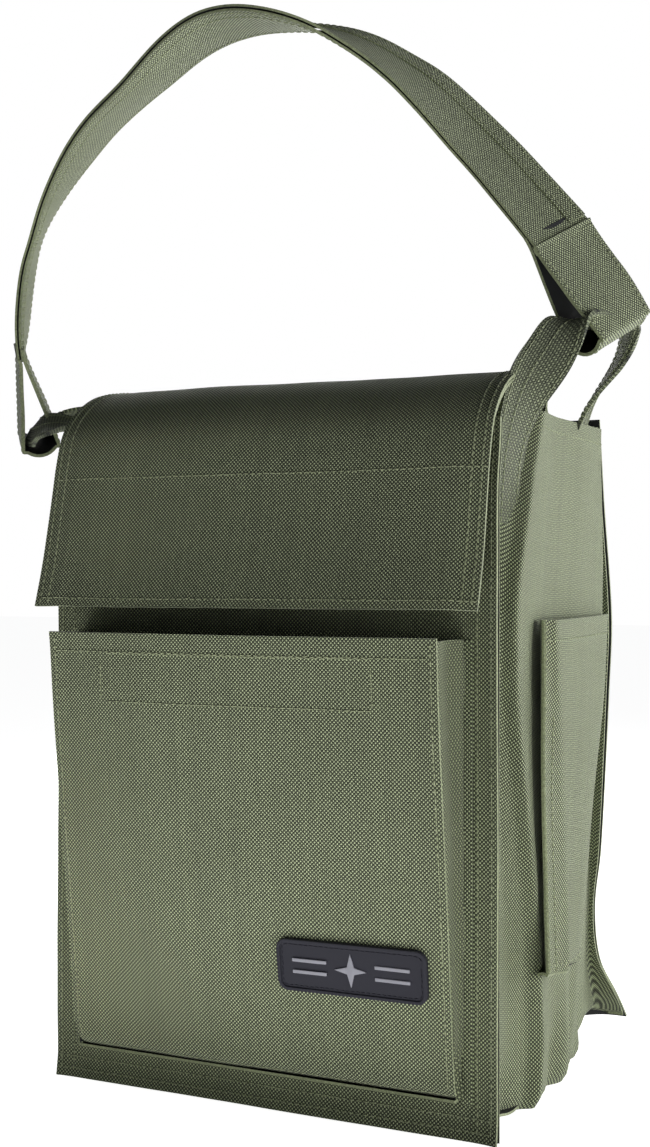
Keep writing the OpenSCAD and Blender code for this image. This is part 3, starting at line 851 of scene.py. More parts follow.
# ---- flap -----------------------------------------------------------------------------------
@dataclass
class Flap:
    """The flap: an outer cloth and a lining, folded over the top and down the front.

    The cloth is cut in two at the middle of the top, into a rear part at the hinge and a front part
    over the fold.
    """

    half_w: float = 0.1185
    split: float = 0.42
    layer_gap: float = 0.0021
    lining_inset: float = 0.0006
    lining_end: float = 0.985
    rear_narrower: float = 0.0105
    rear_droop: float = 0.0135
    tape_gap: float = 0.0016
    side_rows: Tuple = (0.0030, 0.0078)
    hem_rows: Tuple = (0.0042, 0.0665)
    section: Tuple = ((0.0905, 0.3470), (0.060, 0.3535), (0.020, 0.3585), (-0.018, 0.3600),
                      (-0.044, 0.3590), (-0.063, 0.3550), (-0.0790, 0.3465), (-0.0915, 0.3340),
                      (-0.0975, 0.3190), (-0.1018, 0.3000), (-0.1085, 0.2705),
                      (-0.1165, 0.2445))

    def __post_init__(self) -> None:
        """Draws the flap's section from the hinge to the hem."""
        self.profile = Line.curve([Vector((0, y, z)) for y, z in self.section], 10)

    def surface(self, across: float, along: float, depth: float, inset: float) -> Vector:
        """Finds a point on the flap.

        Args:
            across: from 0 at the right edge to 1 at the left edge.
            along: from 0 at the hinge to 1 at the hem.
            depth: how far it lies under the outer face.
            inset: how much narrower than the flap this layer is.

        Returns:
            The point.
        """
        s = along * self.profile.length
        here = self.profile.soft(s, 0.002)
        ahead = self.profile.soft(s + 0.001, 0.002) - self.profile.soft(s - 0.001, 0.002)
        normal = Vector((0, ahead.z, -ahead.y)).normalized()
        rear = ease((here.y + 0.012) / 0.040)
        half = self.half_w - inset - self.rear_narrower * rear
        x = mix(half, -half, across)
        edge = abs(x) / half
        front = ease((along - 0.55) / 0.3)
        sag = -0.0016 * front * (1 - edge * edge) - 0.0008 * (1 - front) * edge ** 3
        sag -= (self.rear_droop * rear * ease((edge - 0.80) / 0.20)
                * ease((0.100 - here.y) / 0.02))
        roll = 0.0018 * ease((edge - 0.86) / 0.14) * front
        wave = ripple(x, s, 11.0, 0.085, 0.0016) + ripple(x, s, 12.0, 0.030, 0.0004)
        hem = 0.0010 * math.sin(x * 26 + 0.6) * ease((along - 0.8) / 0.2)
        return here + normal * (sag + wave * 0.8 + hem - roll - depth) + Vector((x, 0, 0))

    def part(self, start: float, end: float, depth: float, inset: float) -> Place:
        """Returns the place of one stretch of one layer."""
        return lambda u, v: self.surface(u, mix(start, end, v), depth, inset)

    def tape(self, u: float, v: float) -> Vector:
        """Places the hook tape under the lining, above the hem."""
        return self.surface(mix(0.10, 0.90, u), mix(0.80, 0.955, v),
                            self.layer_gap + self.tape_gap, 0)

    def build(self) -> None:
        """Cuts the layers and sews them."""
        rear = Rig("bag_body", "flap", (0, 0.0905, 0.346), (0, 0.0760, 0.349))
        front = Rig("flap", "flap_front", (0, -0.054, 0.358), (0, -0.086, 0.336))
        deep, inset = self.layer_gap, self.lining_inset
        outer_rear = Cloth("flap_outer_rear", self.part(0, self.split, 0, 0), 60, 34,
                           held=Held.FOLDED)
        outer_front = Cloth("flap_outer_front", self.part(self.split, 1, 0, 0), 72, 64,
                            held=Held.FOLDED)
        lining_rear = Cloth("flap_lining_rear", self.part(0.01, self.split, deep, inset), 48, 30,
                            COATING, NYLON, held=Held.FOLDED)
        lining_front = Cloth("flap_lining_front",
                             self.part(self.split, self.lining_end, deep, inset), 56, 56,
                             COATING, NYLON, held=Held.FOLDED)
        rear.fix(outer_rear.build(), "flap_top")
        rear.fix(lining_rear.build())
        front.fix(outer_front.build(), "flap_front")
        front.fix(lining_front.build(), "flap_facing")
        tape = Cloth("flap_hook_pile", self.tape, 40, 10, PILE, PILE, PILE)
        Rig("flap_front").fix(tape.build(), "flap_hook_tape")
        runs = [outer_rear.seam(edge, d) for edge in SIDES for d in self.side_rows]
        rear.fix(Stitches("flap_stitching_rear", runs).build())
        runs = [outer_front.seam(edge, d) for edge in SIDES for d in self.side_rows]
        runs += [outer_front.seam(Edge.TOP, d) for d in self.hem_rows]
        runs += [outer_front.seam(Edge.LEFT, d, 0.44 + k, 0.47 + k)
                 for k in (0, 0.05, 0.10) for d in (0.0105, 0.0112)]
        runs += [turned(outer_front.seam(edge, 0.0032), deep + STIFF_CLOTH) for edge in SIDES]
        front.fix(Stitches("flap_stitching_front", runs).build())


# ---- front pocket ---------------------------------------------------------------------------
@dataclass
class FrontPocket:
    """The bellows pocket: a face that leans out, two side bellows, a floor and its tapes."""

    hinge_y: float = -0.0995
    floor_z: float = 0.020
    height: float = 0.213
    half_w: float = 0.102
    lean: float = math.radians(6.6)
    panel_y: float = -0.0915
    tape_half_w: float = 0.071
    tape_w: float = 0.025
    tape_drop: float = 0.008
    tape_thick: float = 0.0014

    def on_face(self, x: float, up: float, out: float = 0.0) -> Vector:
        """Returns the point at x, a length up the face and a distance out of it."""
        cos, sin = math.cos(self.lean), math.sin(self.lean)
        return Vector((x, self.hinge_y - up * sin - out * cos,
                       self.floor_z + up * cos - out * sin))

    def face(self, u: float, v: float) -> Vector:
        """Places the pocket's face, slightly full in the middle with a turned-in foot."""
        x, up = mix(-self.half_w - 0.0008, self.half_w + 0.0008, u), v * self.height
        side = 1 - (abs(x) / self.half_w) ** 2
        full = 0.0030 * clamp(side) * math.sin(math.pi * clamp(v)) ** 0.8
        full += ripple(x, up, 21.0, 0.11, 0.0022) + ripple(x, up, 22.0, 0.038, 0.0005)
        full += 0.0012 * math.sin(x * 34 + 1.0) * ease((v - 0.86) / 0.14)
        turn = clamp(1 - up / 0.006)
        corner = ease((-x - 0.088) / 0.014) * clamp(1 - up / 0.016)
        point = self.on_face(x, up, 0.0015 + full - 0.0045 * turn * turn)
        return point + Vector((0.005 * corner * corner, 0, 0))

    def bellows(self, u: float, v: float) -> Vector:
        """Places the right bellows, creased inwards halfway from the face to the panel."""
        up = mix(0.001, self.height - 0.0015, v)
        face = self.on_face(self.half_w + 0.0003, up, -0.0004)
        panel = Vector((self.half_w + 0.0022, self.panel_y - 0.0004, face.z))
        point = face.lerp(panel, u)
        crease = 1 - abs(2 * u - 1)
        point.x -= 0.0034 * ease(crease) * (0.35 + 0.65 * v) - 0.0012 * math.sin(3.1 * u)
        point.x += ripple(point.y, up, 25.0, 0.03, 0.0010)
        low = ease(1 - up / 0.030)
        point.x += 0.0016 * low * math.sin(u * 14)
        return point

    def allowance(self, u: float, v: float) -> Vector:
        """Places the strip that sews the right bellows down on the front panel."""
        z = self.floor_z + mix(-0.003, self.height * 0.985, v)
        return Vector((self.half_w + mix(0.0012, 0.0062, u), self.panel_y - 0.0017 + 0.0006 * u, z))

    def floor(self, u: float, v: float) -> Vector:
        """Places the pocket's floor, which sags a little between its seams."""
        x = mix(-self.half_w, self.half_w, u)
        y = mix(self.panel_y - 0.0004, self.hinge_y - 0.0006, v)
        return Vector((x, y, self.floor_z - 0.0004 - 0.0008 * math.sin(math.pi * v)))

    def hook_tape(self, u: float, v: float) -> Vector:
        """Places the hook tape inside the face, under the mouth."""
        return self.on_face(mix(self.tape_half_w, -self.tape_half_w, u), self.tape_up(v),
                            -self.tape_thick)

    def loop_tape(self, u: float, v: float) -> Vector:
        """Places the loop tape on the front panel, across from the hook tape."""
        face = self.on_face(mix(-self.tape_half_w, self.tape_half_w, u), self.tape_up(v))
        return Vector((face.x, self.panel_y - self.tape_thick, face.z))

    def tape_up(self, v: float) -> float:
        """Returns the height up the face of a share v of the tapes' width."""
        return self.height - self.tape_drop - self.tape_w * (1 - v)

    def build(self) -> None:
        """Cuts and sews the pocket and gives each piece but the bellows to its body."""
        moves = Rig("front_pocket")
        bends = Rig("bag_body", "front_pocket", (0, self.panel_y, 0.12), (0, -0.112, 0.12))
        face = Cloth("front_pocket_cloth", self.face, 68, 72, thickness=STIFF_CLOTH)
        moves.fix(face.build(), "front_pocket_face")
        for side, place, strip in (("right", self.bellows, self.allowance),
                                   ("left", mirrored(self.bellows), mirrored(self.allowance))):
            wall = Cloth(f"pocket_bellows_cloth_{side}", place, 16, 60, BELLOWS_NYLON,
                         held=Held.FOLDED)
            bends.fix(wall.build(), f"bellows_front_{side}", f"bellows_back_{side}")
            hem = Cloth(f"pocket_seam_strip_{side}", strip, 4, 60, thickness=0.0010)
            Rig("bag_body").fix(hem.build())
        floor = Cloth("front_pocket_floor_cloth", self.floor, 40, 6, held=Held.FOLDED)
        Rig("bag_body").fix(floor.build(), "front_pocket_floor")
        hook = Cloth("pocket_hook_pile", self.hook_tape, 40, 8, PILE, PILE, PILE)
        moves.fix(hook.build(), "mouth_hook_tape")
        loop = Cloth("pocket_loop_pile", self.loop_tape, 40, 8, PILE, PILE, PILE)
        Rig("bag_body").fix(loop.build(), "mouth_loop_tape")
        runs = [face.seam(edge, 0.0030, 0.02) for edge in SIDES]
        runs.append(face.seam(Edge.TOP, 0.0092, 0.01, 0.99))
        runs += self.box_of_stitches(face)
        runs.append(face.seam(Edge.BOTTOM, 0.0048, 0.06, 0.99))
        moves.fix(Stitches("pocket_stitching", runs).build())

    def box_of_stitches(self, face: Cloth) -> List[Run]:
        """Returns the stitched outline that holds the hook tape behind the face."""
        top, foot, left, right = 0.0098, 0.0335, 0.0300, 0.1740
        width = face.across[0][-1]
        height = face.along[-1][0]
        rows = [face.seam(Edge.TOP, d, left / width, right / width) for d in (top, foot)]
        low, high = 1 - foot / height, 1 - top / height
        return rows + [face.seam(Edge.LEFT, x, low, high) for x in (left, right)]


# ---- side pockets ---------------------------------------------------------------------------
@dataclass
class SidePocket:
    """A slim bellows pocket on a gusset: a face, a pleat along its front and a floor."""

    foot: float = 0.062
    mouth: float = 0.238
    front_x: float = 0.1278
    crease_x: float = 0.1322
    root_x: float = 0.1232
    strip: float = 0.17
    front_y: Tuple = ((0.062, -0.0400), (0.120, -0.0455), (0.166, -0.0480), (0.238, -0.0470))
    crease_y: Tuple = ((0.062, -0.0190), (0.110, -0.0245), (0.164, -0.0300), (0.238, -0.0405))
    rear_y: Tuple = ((0.062, 0.026), (0.078, 0.031), (0.115, 0.043), (0.164, 0.058),
                     (0.200, 0.073), (0.238, 0.080))
    root_y: Tuple = ((0.062, -0.0300), (0.120, -0.0350), (0.166, -0.0370), (0.238, -0.0385))

    def face(self, u: float, v: float) -> Vector:
        """Places the right pocket's face: a flat strip, a crease, then a curve to its rear."""
        z = mix(self.foot, self.mouth, v)
        front = Vector((self.front_x, table(self.front_y, z), z))
        crease = Vector((self.crease_x, table(self.crease_y, z), z))
        rear = Vector((self.root_x + 0.0012, table(self.rear_y, z), z))
        bend = Vector((self.crease_x - 0.0004, rear.y - 0.028 + 0.008 * v, z))

        def along(t: float) -> Vector:
            """Returns the point a share t of the way round, before it is softened."""
            if t < self.strip:
                return front.lerp(crease, t / self.strip)
            t = (t - self.strip) / (1 - self.strip)
            return crease * (1 - t) ** 2 + bend * 2 * t * (1 - t) + rear * t * t

        point = (along(clamp(u - 0.012)) + along(u) + along(clamp(u + 0.012))) / 3
        full = math.sin(math.pi * clamp((u - self.strip) / (1 - self.strip)))
        point.x += 0.0016 * full * math.sin(math.pi * clamp(v))
        point.x -= 0.0012 * math.sin(math.pi * clamp(u / self.strip))
        point.x += ripple(point.y, z, 31.0, 0.05, 0.0018) * (0.25 + 0.75 * full)
        point.x -= 0.0070 * clamp(1 - (z - self.foot) / 0.010) ** 2 * full
        point.z += 0.0050 * (1 - v) ** 6 * (1 - u) ** 2 - 0.0030 * (1 - v) ** 6 * u
        return point

    def pleat(self, u: float, v: float) -> Vector:
        """Places the pleat that joins the gusset to the face's front edge."""
        edge = self.face(0.0, v)
        root = Vector((self.root_x, table(self.root_y, edge.z), edge.z))
        point = root.lerp(edge - Vector((0.0004, 0, 0)), u)
        point.y -= 0.0016 * math.sin(math.pi * u) * (1 - 0.5 * v)
        return point

    def floor(self, u: float, v: float) -> Vector:
        """Places the pocket's floor, sewn to the gusset and to the face's foot."""
        edge = self.face(u, 0.0)
        return Vector((mix(self.root_x - 0.0010, edge.x - 0.0002, 1 - v), edge.y,
                       edge.z - 0.0004 + 0.0010 * math.sin(math.pi * v)))

    def build(self) -> None:
        """Cuts and sews both side pockets."""
        for side, sign in (("left", -1), ("right", 1)):
            turn = mirrored if sign < 0 else (lambda place: place)
            body = f"side_pocket_{side}"
            bends = Rig("bag_body", body, (sign * 0.1238, 0, 0.1), (sign * 0.1288, 0, 0.1))
            face = Cloth(f"{body}_cloth", turn(self.face), 44, 56)
            pleat = Cloth(f"{body}_pleat", turn(self.pleat), 10, 56, held=Held.FOLDED)
            floor = Cloth(f"{body}_floor", turn(self.floor), 30, 6, held=Held.FOLDED)
            bends.fix(face.build(), f"side_pocket_face_{side}")
            bends.fix(pleat.build(), f"side_pocket_bellows_{side}")
            bends.fix(floor.build())
            near = Edge.LEFT if sign > 0 else Edge.RIGHT
            runs = [face.seam(Edge.TOP, 0.0100, 0.06, 0.95), face.seam(near, 0.0100, 0, 0.75),
                    face.seam(Edge.BOTTOM, 0.0040, 0.02, 0.98), face.seam(near, 0.0022)]
            bends.fix(Stitches(f"{body}_stitching", runs).build())


# ---- rubber patch ---------------------------------------------------------------------------
@dataclass
class Patch:
    """The moulded rubber patch: a rounded plate with a raised border and a plain emblem."""

    pocket: FrontPocket
    width: float = 0.074
    height: float = 0.025
    radius: float = 0.005
    base: float = 0.0018
    border: float = 0.0016
    relief: float = 0.0008
    centre_x: float = 0.055
    centre_up: float = 0.058
    stitch_inset: float = 0.0026
    bar_margin: float = 0.012
    bar_gap: float = 0.004
    bar_thick: float = 0.0016

    def plate(self, name: str, size: Tuple[float, float], thick: float) -> bpy.types.Object:
        """Adds a plate lying on XY at the origin, its upright edges rounded.

        Args:
            name: the piece's name.
            size: its width and height.
            thick: its thickness, from Z = 0 up.

        Returns:
            The plate, selected and active.
        """
        deselect()
        bpy.ops.mesh.primitive_cube_add(size=1, location=(0, 0, thick / 2))
        plate = bpy.context.active_object
        plate.name = plate.data.name = name
        plate.scale = (size[0], size[1], thick)
        bpy.ops.object.transform_apply(location=True, rotation=True, scale=True)
        bpy.ops.object.mode_set(mode="EDIT")
        bpy.ops.mesh.select_all(action="DESELECT")
        bpy.ops.object.mode_set(mode="OBJECT")
        for edge in plate.data.edges:
            a, b = (plate.data.vertices[n].co for n in edge.vertices)
            edge.select = abs(a.x - b.x) < 1e-6 and abs(a.y - b.y) < 1e-6
        bpy.context.tool_settings.mesh_select_mode = (False, True, False)
        bpy.ops.object.mode_set(mode="EDIT")
        bpy.ops.mesh.bevel(offset=self.radius, segments=10, affect="EDGES")
        bpy.ops.object.mode_set(mode="OBJECT")
        return plate

    def select_top(self, plate: bpy.types.Object, height: float) -> None:
        """Selects the plate's faces that lie flat at a height, in edit mode."""
        bpy.context.tool_settings.mesh_select_mode = (False, False, True)
        bpy.ops.object.mode_set(mode="EDIT")
        bpy.ops.mesh.select_all(action="DESELECT")
        bpy.ops.object.mode_set(mode="OBJECT")
        for face in plate.data.polygons:
            face.select = face.normal.z > 0.9 and abs(face.center.z - height) < 1e-6
        bpy.ops.object.mode_set(mode="EDIT")

    @property
    def outward(self) -> Vector:
        """The direction straight out of the pocket's face."""
        return Vector((0, -1, -self.pocket.lean)).normalized()

    def on_pocket(self, x: float, up: float) -> Vector:
        """Returns the point of the pocket's curved face at x and up from the patch's middle."""
        u = clamp((self.centre_x + x + self.pocket.half_w) / (2 * self.pocket.half_w))
        return self.pocket.face(u, (self.centre_up + up) / self.pocket.height)

    def soften(self, piece: bpy.types.Object, width: float) -> None:
        """Rounds all the piece's sharp edges by a small width."""
        bevel = piece.modifiers.new("soft_edges", "BEVEL")
        bevel.width, bevel.segments, bevel.limit_method = width, 2, "ANGLE"
        apply_modifier(piece, "soft_edges")

    def settle(self, piece: bpy.types.Object) -> None:
        """Lays a piece made flat at the origin onto the pocket's curved face."""
        for vertex in piece.data.vertices:
            x, up, out = vertex.co
            vertex.co = self.on_pocket(x, up) + self.outward * out

    def body(self) -> bpy.types.Object:
        """Makes the plate with its border standing proud."""
        plate = self.plate("rubber_patch_body", (self.width, self.height),
                           self.base + self.relief)
        self.select_top(plate, self.base + self.relief)
        bpy.ops.mesh.inset(thickness=self.border)
        bpy.ops.mesh.extrude_region_move(
            TRANSFORM_OT_translate={"value": (0, 0, -self.relief)})
        bpy.ops.mesh.inset(thickness=0.0004)
        bpy.ops.object.mode_set(mode="OBJECT")
        self.soften(plate, 0.0002)
        plate.data.materials.append(RUBBER.material())
        return plate

    def star(self) -> bpy.types.Object:
        """Makes the emblem: a four-point star between two pairs of bars."""
        deselect()
        bpy.ops.mesh.primitive_cylinder_add(vertices=8, radius=self.height * 0.32,
                                            depth=self.relief,
                                            location=(0, 0, self.base + self.relief / 2))
        star = bpy.context.active_object
        star.name = star.data.name = "patch_emblem_star"
        bpy.ops.object.transform_apply(location=True, rotation=True, scale=True)
        for vertex in star.data.vertices:
            turn = math.atan2(vertex.co.y, vertex.co.x) / (math.pi / 4)
            if round(turn) % 2:
                vertex.co.x *= 0.3
                vertex.co.y *= 0.3
        reach = self.height * 0.32
        bar = self.width / 2 - reach - self.bar_margin
        parts = [star]
        for side in (-1, 1):
            for level in (-1, 1):
                deselect()
                bpy.ops.mesh.primitive_cube_add(size=1, location=(
                    side * (reach + self.bar_gap + bar / 2), level * reach * 0.35,
                    self.base + self.relief / 2), scale=(bar, self.bar_thick, self.relief))
                strip = bpy.context.active_object
                bpy.ops.object.transform_apply(location=True, rotation=True, scale=True)
                parts.append(strip)
        pick(*parts)
        bpy.ops.object.join()
        bpy.ops.object.mode_set(mode="EDIT")
        bpy.ops.mesh.select_all(action="SELECT")
        bpy.ops.mesh.subdivide(number_cuts=2)
        bpy.ops.object.mode_set(mode="OBJECT")
        self.soften(star, 0.00015)
        star.data.materials.clear()
        star.data.materials.append(RELIEF.material())
        return star

    def outline(self) -> Run:
        """Returns the line of stitches that sews the patch on, just inside its border."""
        points, normals = [], []
        corner = self.radius - self.stitch_inset
        half = (self.width / 2 - self.stitch_inset, self.height / 2 - self.stitch_inset)
        for k, (sx, sy) in enumerate(((1, 1), (-1, 1), (-1, -1), (1, -1))):
            for a in range(7):
                turn = math.pi / 2 * (k + a / 6)
                x = sx * (half[0] - corner) + corner * math.cos(turn)
                y = sy * (half[1] - corner) + corner * math.sin(turn)
                points.append((self.on_pocket(x, y) + self.outward * self.base)[:])
                normals.append(self.outward[:])
        return np.array(points + points[:1]), np.array(normals + normals[:1])

    def build(self) -> None:
        """Makes the patch and its emblem and puts them on the pocket's face."""
        rig = Rig("front_pocket")
        for piece, node in ((self.body(), "rubber_patch"), (self.star(), "patch_emblem")):
            self.settle(piece)
            finish_mesh(piece, 40.0)
            rig.fix(piece, node)
            LOG.info("%s: %d faces", piece.name, len(piece.data.polygons))
        dark = Stitches("patch_stitching", [self.outline()], 0.0026, 0.0003, RUBBER)
        rig.fix(dark.build())


# ---- handle ---------------------------------------------------------------------------------
@dataclass
class Handle:
    """The strap handle: two cloth layers sewn along their edges, with an eye at each end."""

    width: float = 0.044
    layer: float = 0.0012
    gap: float = 0.0009
    line: Tuple = ((0.130, -0.021, 0.424), (0.093, -0.031, 0.470), (0.056, -0.048, 0.509),
                   (0.016, -0.063, 0.532), (-0.033, -0.074, 0.537), (-0.084, -0.064, 0.517),
                   (-0.131, -0.053, 0.490), (-0.167, -0.048, 0.442), (-0.181, -0.041, 0.382))
    turns: Tuple = ((21, 27), (11, 25), (4, 22), (4, 19), (4, 6), (18, 9), (27, 4), (45, -14),
                    (59, -31))
    right_eye: Point = (0.147, -0.008, 0.386)
    left_eye: Point = (-0.183, -0.024, 0.344)
    eye_r: float = 0.0115
    reading: float = 0.014
    length: float = 0.55
    curl: float = 0.0010

    def unevenness(self, share: float, across: float) -> float:
        """Returns how far the strap's cloth strays outwards, the same for all its layers."""
        return ripple(share * self.length, across * self.width, 41.0, 0.05, 0.0010)

    def frame_at(self, share: float) -> Tuple[Vector, Vector, Vector, Vector]:
        """Returns the strap's centre, tangent, width direction and outward normal.

        Args:
            share: from 0 at the right seam to 1 at the left seam.
        """
        spans = len(self.line) - 1
        points = [Vector(p) for p in self.line]
        turns = [Vector((a, b, 0)) for a, b in self.turns]
        centre, ahead, behind = (smooth(points, clamp(share + step) * spans)
                                 for step in (0, self.reading, -self.reading))
        tangent = (ahead - behind).normalized()
        slope, turn = (math.radians(a) for a in smooth(turns, clamp(share) * spans)[:2])
        across = Vector((math.sin(turn) * math.cos(slope), math.cos(turn) * math.cos(slope),
                         math.sin(slope)))
        across = (across - tangent * across.dot(tangent)).normalized()
        return centre, tangent, across, tangent.cross(across)

    def layer_at(self, level: float) -> Place:
        """Returns the place of the strap's layer at a height above its middle."""
        def place(u: float, v: float) -> Vector:
            """Places the layer, from the right seam to the left."""
            centre, _, across, out = self.frame_at(clamp(mix(-0.004, 1.004, v)))
            edge = 2 * u - 1
            soft = self.unevenness(v, u)
            return (centre + across * (edge * self.width / 2)
                    + out * (level - self.curl * edge * edge + soft))
        return place

    def fold_strip(self, u: float, v: float) -> Vector:
        """Places the turned-in edge that lies on the strap's inner layer."""
        centre, _, across, out = self.frame_at(mix(0.02, 0.98, v))
        edge = mix(0.44, 0.98, u)
        lift = -self.gap / 2 - self.layer - 0.0006 - 0.0014 * edge * edge
        soft = self.unevenness(v, (edge + 1) / 2)
        return centre + across * (edge * self.width / 2) + out * (lift + soft)

    def eye_frame(self, right: bool) -> Tuple[Vector, Vector, Vector, Vector]:
        """Returns an eye's centre, the way up its strap, its width direction and its normal."""
        centre = Vector(self.right_eye if right else self.left_eye)
        seam, _, across, _ = self.frame_at(0.0 if right else 1.0)
        up = (seam - centre).normalized()
        across = (across - up * across.dot(up)).normalized()
        return centre, up, across, up.cross(across)

    def eye(self, right: bool) -> Place:
        """Returns the place of the strap's end, turned back round the webbing."""
        centre, up, across, side = self.eye_frame(right)
        seam = self.frame_at(0.0 if right else 1.0)[0]
        reach = (seam - centre).length
        front = 1 if right else -1
        level = self.gap / 2 + self.layer + 0.0009
        drop = [(front * level, reach + 0.010), (front * (level + 0.0005), reach - 0.002)]
        for k in range(9):
            turn = math.radians(mix(22, 158, k / 8) - 90)
            drop.append((-front * self.eye_r * math.sin(turn), -self.eye_r * math.cos(turn)))
        drop += [(-front * level, reach - 0.002), (-front * level, reach + 0.004)]
        line = Line.curve([Vector((x, y, 0)) for x, y in drop], 6)

        def place(u: float, v: float) -> Vector:
            """Places the end, from its outer lap round to its inner one."""
            local = line.soft(v * line.length, 0.001)
            edge = (2 * u - 1) * front
            pinch = 1 - 0.10 * ease(1 - (local.y + self.eye_r) / 0.03)
            soft = ripple(u * self.width, v * line.length, 43.0, 0.03, 0.0008)
            return (centre + side * (local.x + soft) + up * local.y
                    + across * (edge * self.width / 2 * pinch * 1.02))
        return place

    def build(self) -> None:
        """Cuts the strap's layers, its eyes and tacks, and sews them."""
        rig = Rig("handle")
        level = self.gap / 2 + self.layer
        outside = self.layer_at(level)
        outer = Cloth("handle_outer_layer", lambda u, v: outside(1 - u, v), 16, 150,
                      held=Held.FOLDED)
        inner = Cloth("handle_inner_layer", self.layer_at(-level), 16, 150, held=Held.FOLDED)
        strip = Cloth("handle_turned_edge", self.fold_strip, 6, 140, held=Held.FOLDED)
        rig.fix(outer.build(), "handle_strap")
        rig.fix(inner.build())
        rig.fix(strip.build())
        tacks = {}
        for side, right in (("right", True), ("left", False)):
            eye = Cloth(f"handle_eye_{side}", self.eye(right), 16, 60, thickness=0.0018,
                        held=Held.FOLDED)
            rig.fix(eye.build())
            tacks[side] = [eye.seam(Edge.BOTTOM, d, 0.04, 0.96) for d in (0.0022, 0.0075)]
            tacks[side] += [eye.seam(edge, 0.0024, 0.02, 0.98) for edge in SIDES]
        for side, runs in tacks.items():
            rig.fix(Stitches(f"handle_tack_stitches_{side}", runs).build(), f"handle_tack_{side}")
        runs = [outer.seam(edge, 0.0028) for edge in SIDES]
        runs += [outer.seam(Edge.RIGHT, 0.0085), inner.seam(Edge.RIGHT, 0.0030),
                 strip.seam(Edge.LEFT, 0.0026), strip.seam(Edge.RIGHT, 0.0020)]
        rig.fix(Stitches("handle_stitching", runs).build())


